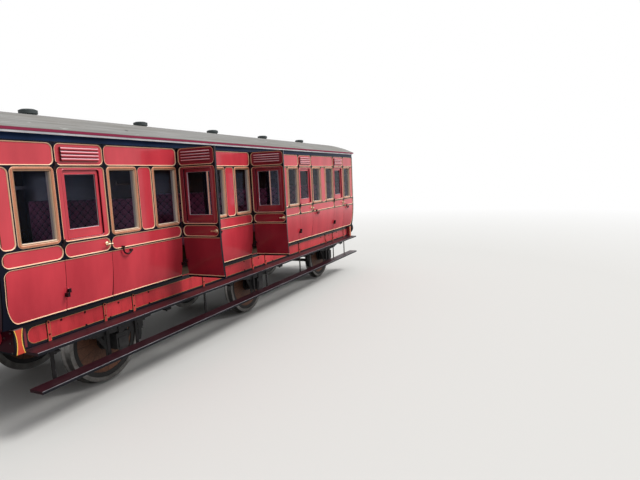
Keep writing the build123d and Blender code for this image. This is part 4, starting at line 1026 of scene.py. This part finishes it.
# Benches: deep-buttoned backs and crowned cushions. A grid gives the slack shape; a cloth simulation with
# air pressure then swells it between the buttons, once for a back and once for a cushion.
bench = {"halfLength": 1.0536, "backLow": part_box("seat_backs")[0].z, "backHigh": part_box("seat_backs")[1].z,
         "cushionLow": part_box("seat_cushions")[0].z, "cushionHigh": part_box("seat_cushions")[1].z,
         "backThick": 0.095, "cushionDepth": 0.500, "partitionHalf": 0.022, "endWall": 0.065, "gap": 0.0003,
         "puff": 0.020, "slack": 0.80, "frames": 20, "cap": 0.026, "crease": 0.006, "fill": 0.8,
         "grids": ((99, 31), (141, 49)), "flat": 0.35, "squareness": (12, 8), "rim": 0.2, "inner": 9,
         "dimple": 0.16, "fold": 0.07, "buttonCore": (0.72, 0.4)}
clothSettings = {"quality": 6, "mass": 0.15, "tension_stiffness": 8, "compression_stiffness": 8,
                 "bending_stiffness": 0.2, "use_pressure": True, "uniform_pressure_force": 4.0,
                 "vertex_group_mass": "held"}


def slackPad(length, height, thick, buttons):
    # a closed pad: the front stands out by a rounded profile both ways, sunk at its buttons; its axes are
    # along, up and out. Gives points, faces, the points held in the simulation and the crease depth factor.
    nu, nv = bench["grids"][bool(buttons)]
    u, v = np.meshgrid(np.linspace(-1, 1, nu), np.linspace(-1, 1, nv))
    edge = np.prod([(1 - np.abs(w) ** power) ** 0.5 for w, power in zip((u, v), bench["squareness"])], axis=0)
    along, up = u * length / 2, v * height / 2
    out = bench["slack"] * thick * (bench["flat"] + (1 - bench["flat"]) * edge)
    border = (np.abs(u) == 1) | (np.abs(v) == 1)
    out[border] = bench["rim"] * thick
    crease, sunk = np.zeros_like(out), np.zeros_like(border)
    if buttons:
        # the distances to the nearest of the diagonals each way, in button steps
        p, q = along / buttons["across"], (up + height / 2) / buttons["up"]
        first, second = [line - np.round(line) for line in (p + q, p - q)]
        inside = np.clip((1 - np.maximum(np.abs(u), np.abs(v))) * bench["inner"], 0, 1)
        near, narrow = [[np.exp(-(line / bench[width]) ** 2) for line in (first, second)]
                        for width in ("dimple", "fold")]
        deep, crease = near[0] * near[1], inside * np.maximum(*narrow)
        out = out - inside * bench["puff"] * deep
        sunk = (deep > bench["buttonCore"][0]) & (inside > bench["buttonCore"][1])
    front, back = [joined(along, up, depth).reshape(-1, 3) for depth in (out, 0.0)]
    rim = np.concatenate([np.arange(nu), (np.arange(1, nv) * nu + nu - 1),
                          (nv - 1) * nu + np.arange(nu - 2, -1, -1), np.arange(nv - 2, 0, -1) * nu])
    ring = nu * nv + np.arange(len(rim))
    wall = np.stack([rim, ring, np.roll(ring, -1), np.roll(rim, -1)], axis=-1)
    faces = gridQuads(nv, nu).tolist() + wall.tolist() + [ring.tolist()]
    held = np.concatenate([np.flatnonzero((sunk | border).ravel()), ring])
    return np.concatenate([front, back[rim]]), faces, held, np.append(crease.ravel(), np.zeros(len(rim)))


def padMesh(name, points, faces):
    # a mesh with its faces turned outwards
    mesh = bpy.data.meshes.new(name)
    mesh.from_pydata(points.tolist(), [], faces)
    work = bmesh.new()
    work.from_mesh(mesh)
    bmesh.ops.recalc_face_normals(work, faces=work.faces)
    work.to_mesh(mesh)
    work.free()
    return mesh


def swollen(points, faces, held, thick):
    # cloth with pressure inside: held points stay, the others move by the cap at most and within the thickness
    mesh = padMesh("slackPad", points, faces)
    pad = linked("slackPad", mesh)
    pad.vertex_groups.new(name="held").add(held.tolist(), 1.0, "REPLACE")
    settings = pad.modifiers.new("cloth", "CLOTH").settings
    for name, value in clothSettings.items():
        setattr(settings, name, value)
    settings.effector_weights.gravity = 0
    scene = bpy.context.scene
    start = scene.frame_current
    for step in range(1, bench["frames"] + 1):
        scene.frame_set(step)
    baked = pad.evaluated_get(bpy.context.evaluated_depsgraph_get()).to_mesh()
    shaped = np.empty(len(baked.vertices) * 3)
    baked.vertices.foreach_get("co", shaped)
    scene.frame_set(start)
    bpy.data.objects.remove(pad)
    bpy.data.meshes.remove(mesh)
    move = np.clip(shaped.reshape(-1, 3) - points, -bench["cap"], bench["cap"])
    print("pad swelled by", round(float(np.abs(move).max()) * 1000, 1), "mm at most")
    result = points + move
    result[:, 2] = np.clip(result[:, 2], 0, thick)
    return result


def makeBenches():
    b = bench
    pads = {}
    # columns: name, height, thickness, buttons
    for name, height, thick, buttons in (
            ("seatBack", b["backHigh"] - b["backLow"], b["backThick"], buttonStep),
            ("seatCushion", b["cushionDepth"], b["cushionHigh"] - b["cushionLow"], None)):
        points, faces, held, crease = slackPad(2 * b["halfLength"], height, thick, buttons)
        points = swollen(points, faces, held, thick)
        points[:, 2] -= b["crease"] * crease
        pads[name] = points, faces
    # the benches stand against the partitions and the end walls
    toWall = coach["doorPitch"] / 2 - b["partitionHalf"]
    walls = [centre + sign * toWall for centre in doorCentres for sign in (-1, 1)]
    walls[-1] = coach["bodyHalf"] - b["endWall"]
    walls[0] = -walls[-1]
    for number, wall in enumerate(walls, 1):
        sign = 1 if number % 2 == 0 else -1
        # columns: name, node, the axes of up and out, the origin
        for name, node, up, out, origin in (
                ("seatBack", "seat_backs", (0, 0, 1), (-sign, 0, 0),
                 (wall - sign * b["gap"], 0, (b["backLow"] + b["backHigh"]) / 2)),
                ("seatCushion", "seat_cushions", (-sign, 0, 0), (0, 0, 1),
                 (wall - sign * b["cushionDepth"] / 2, 0, b["cushionLow"]))):
            points, faces = pads[name]
            mesh = padMesh(name, origin + points @ np.array([(0, 1, 0), up, out], float), faces)
            mesh.polygons.foreach_set("use_smooth", np.ones(len(mesh.polygons), bool))
            piece = placed(f"{name}{number}", mesh, (name,), "root", (node,))


makeBenches()
print("benches padded")


# Pale floor that fades into a white surround, a soft sky that is brighter from above and ahead, and a broad lamp
stageLook = {"floorSize": 90.0, "floorTone": (0.64, 0.64, 0.63), "floorBounce": (0.20, 0.20, 0.20),
             "fade": (9.0, 26.0), "skyLow": 0.12, "skyHigh": 1.16, "skyTilt": (0.45, -0.30, 0.55),
             "skySpan": (-0.45, 0.70), "sunWay": (0.42, -0.80, 1.00), "sunEnergy": 2.5, "sunAngle": 24.0,
             "sunTone": (1.0, 0.98, 0.95)}


def makeStage():
    s = stageLook
    bpy.ops.mesh.primitive_plane_add(size=s["floorSize"])
    floor = bpy.context.object
    floor.name = "studioFloor"
    f = Finish("studioFloor")
    x, y, z = f.split()
    seen, camera = f.seen()
    f.set(colour=f.mixed(camera, s["floorBounce"], s["floorTone"]), roughness=0.9, specular=0.1)
    fade = f.between(reach(x, y), 0, 1, *s["fade"]) * seen
    f.blended(fade, Field(f.tree, f.shader.outputs[0]), f.add("Emission", {}), "Material Output")
    floor.data.materials.append(f.material)

    world = bpy.data.worlds.new("softSky")
    bpy.context.scene.world = world
    world.use_nodes = True
    w = Nodes(world.node_tree)
    up = w.add("VectorMath", {0: w.add("TexCoord", {}, "Generated"), 1: s["skyTilt"]}, "Value",
               operation="DOT_PRODUCT")
    sky = w.add("Background", {"Strength": w.between(up, s["skyLow"], s["skyHigh"], *s["skySpan"])})
    white = w.tree.nodes["Background"]
    put(white.inputs["Color"], (1, 1, 1))
    put(white.inputs["Strength"], 1.0)
    w.blended(w.seen()[0], sky, Field(w.tree, white.outputs[0]), "World Output")

    lamp = bpy.data.lights.new("broadSun", "SUN")
    lamp.energy, lamp.angle, lamp.color = s["sunEnergy"], math.radians(s["sunAngle"]), s["sunTone"]
    linked("broadSun", lamp).rotation_euler = Vector(s["sunWay"]).to_track_quat("Z", "Y").to_euler()
    bpy.context.scene.view_settings.view_transform = "Standard"


makeStage()
print("stage lit")
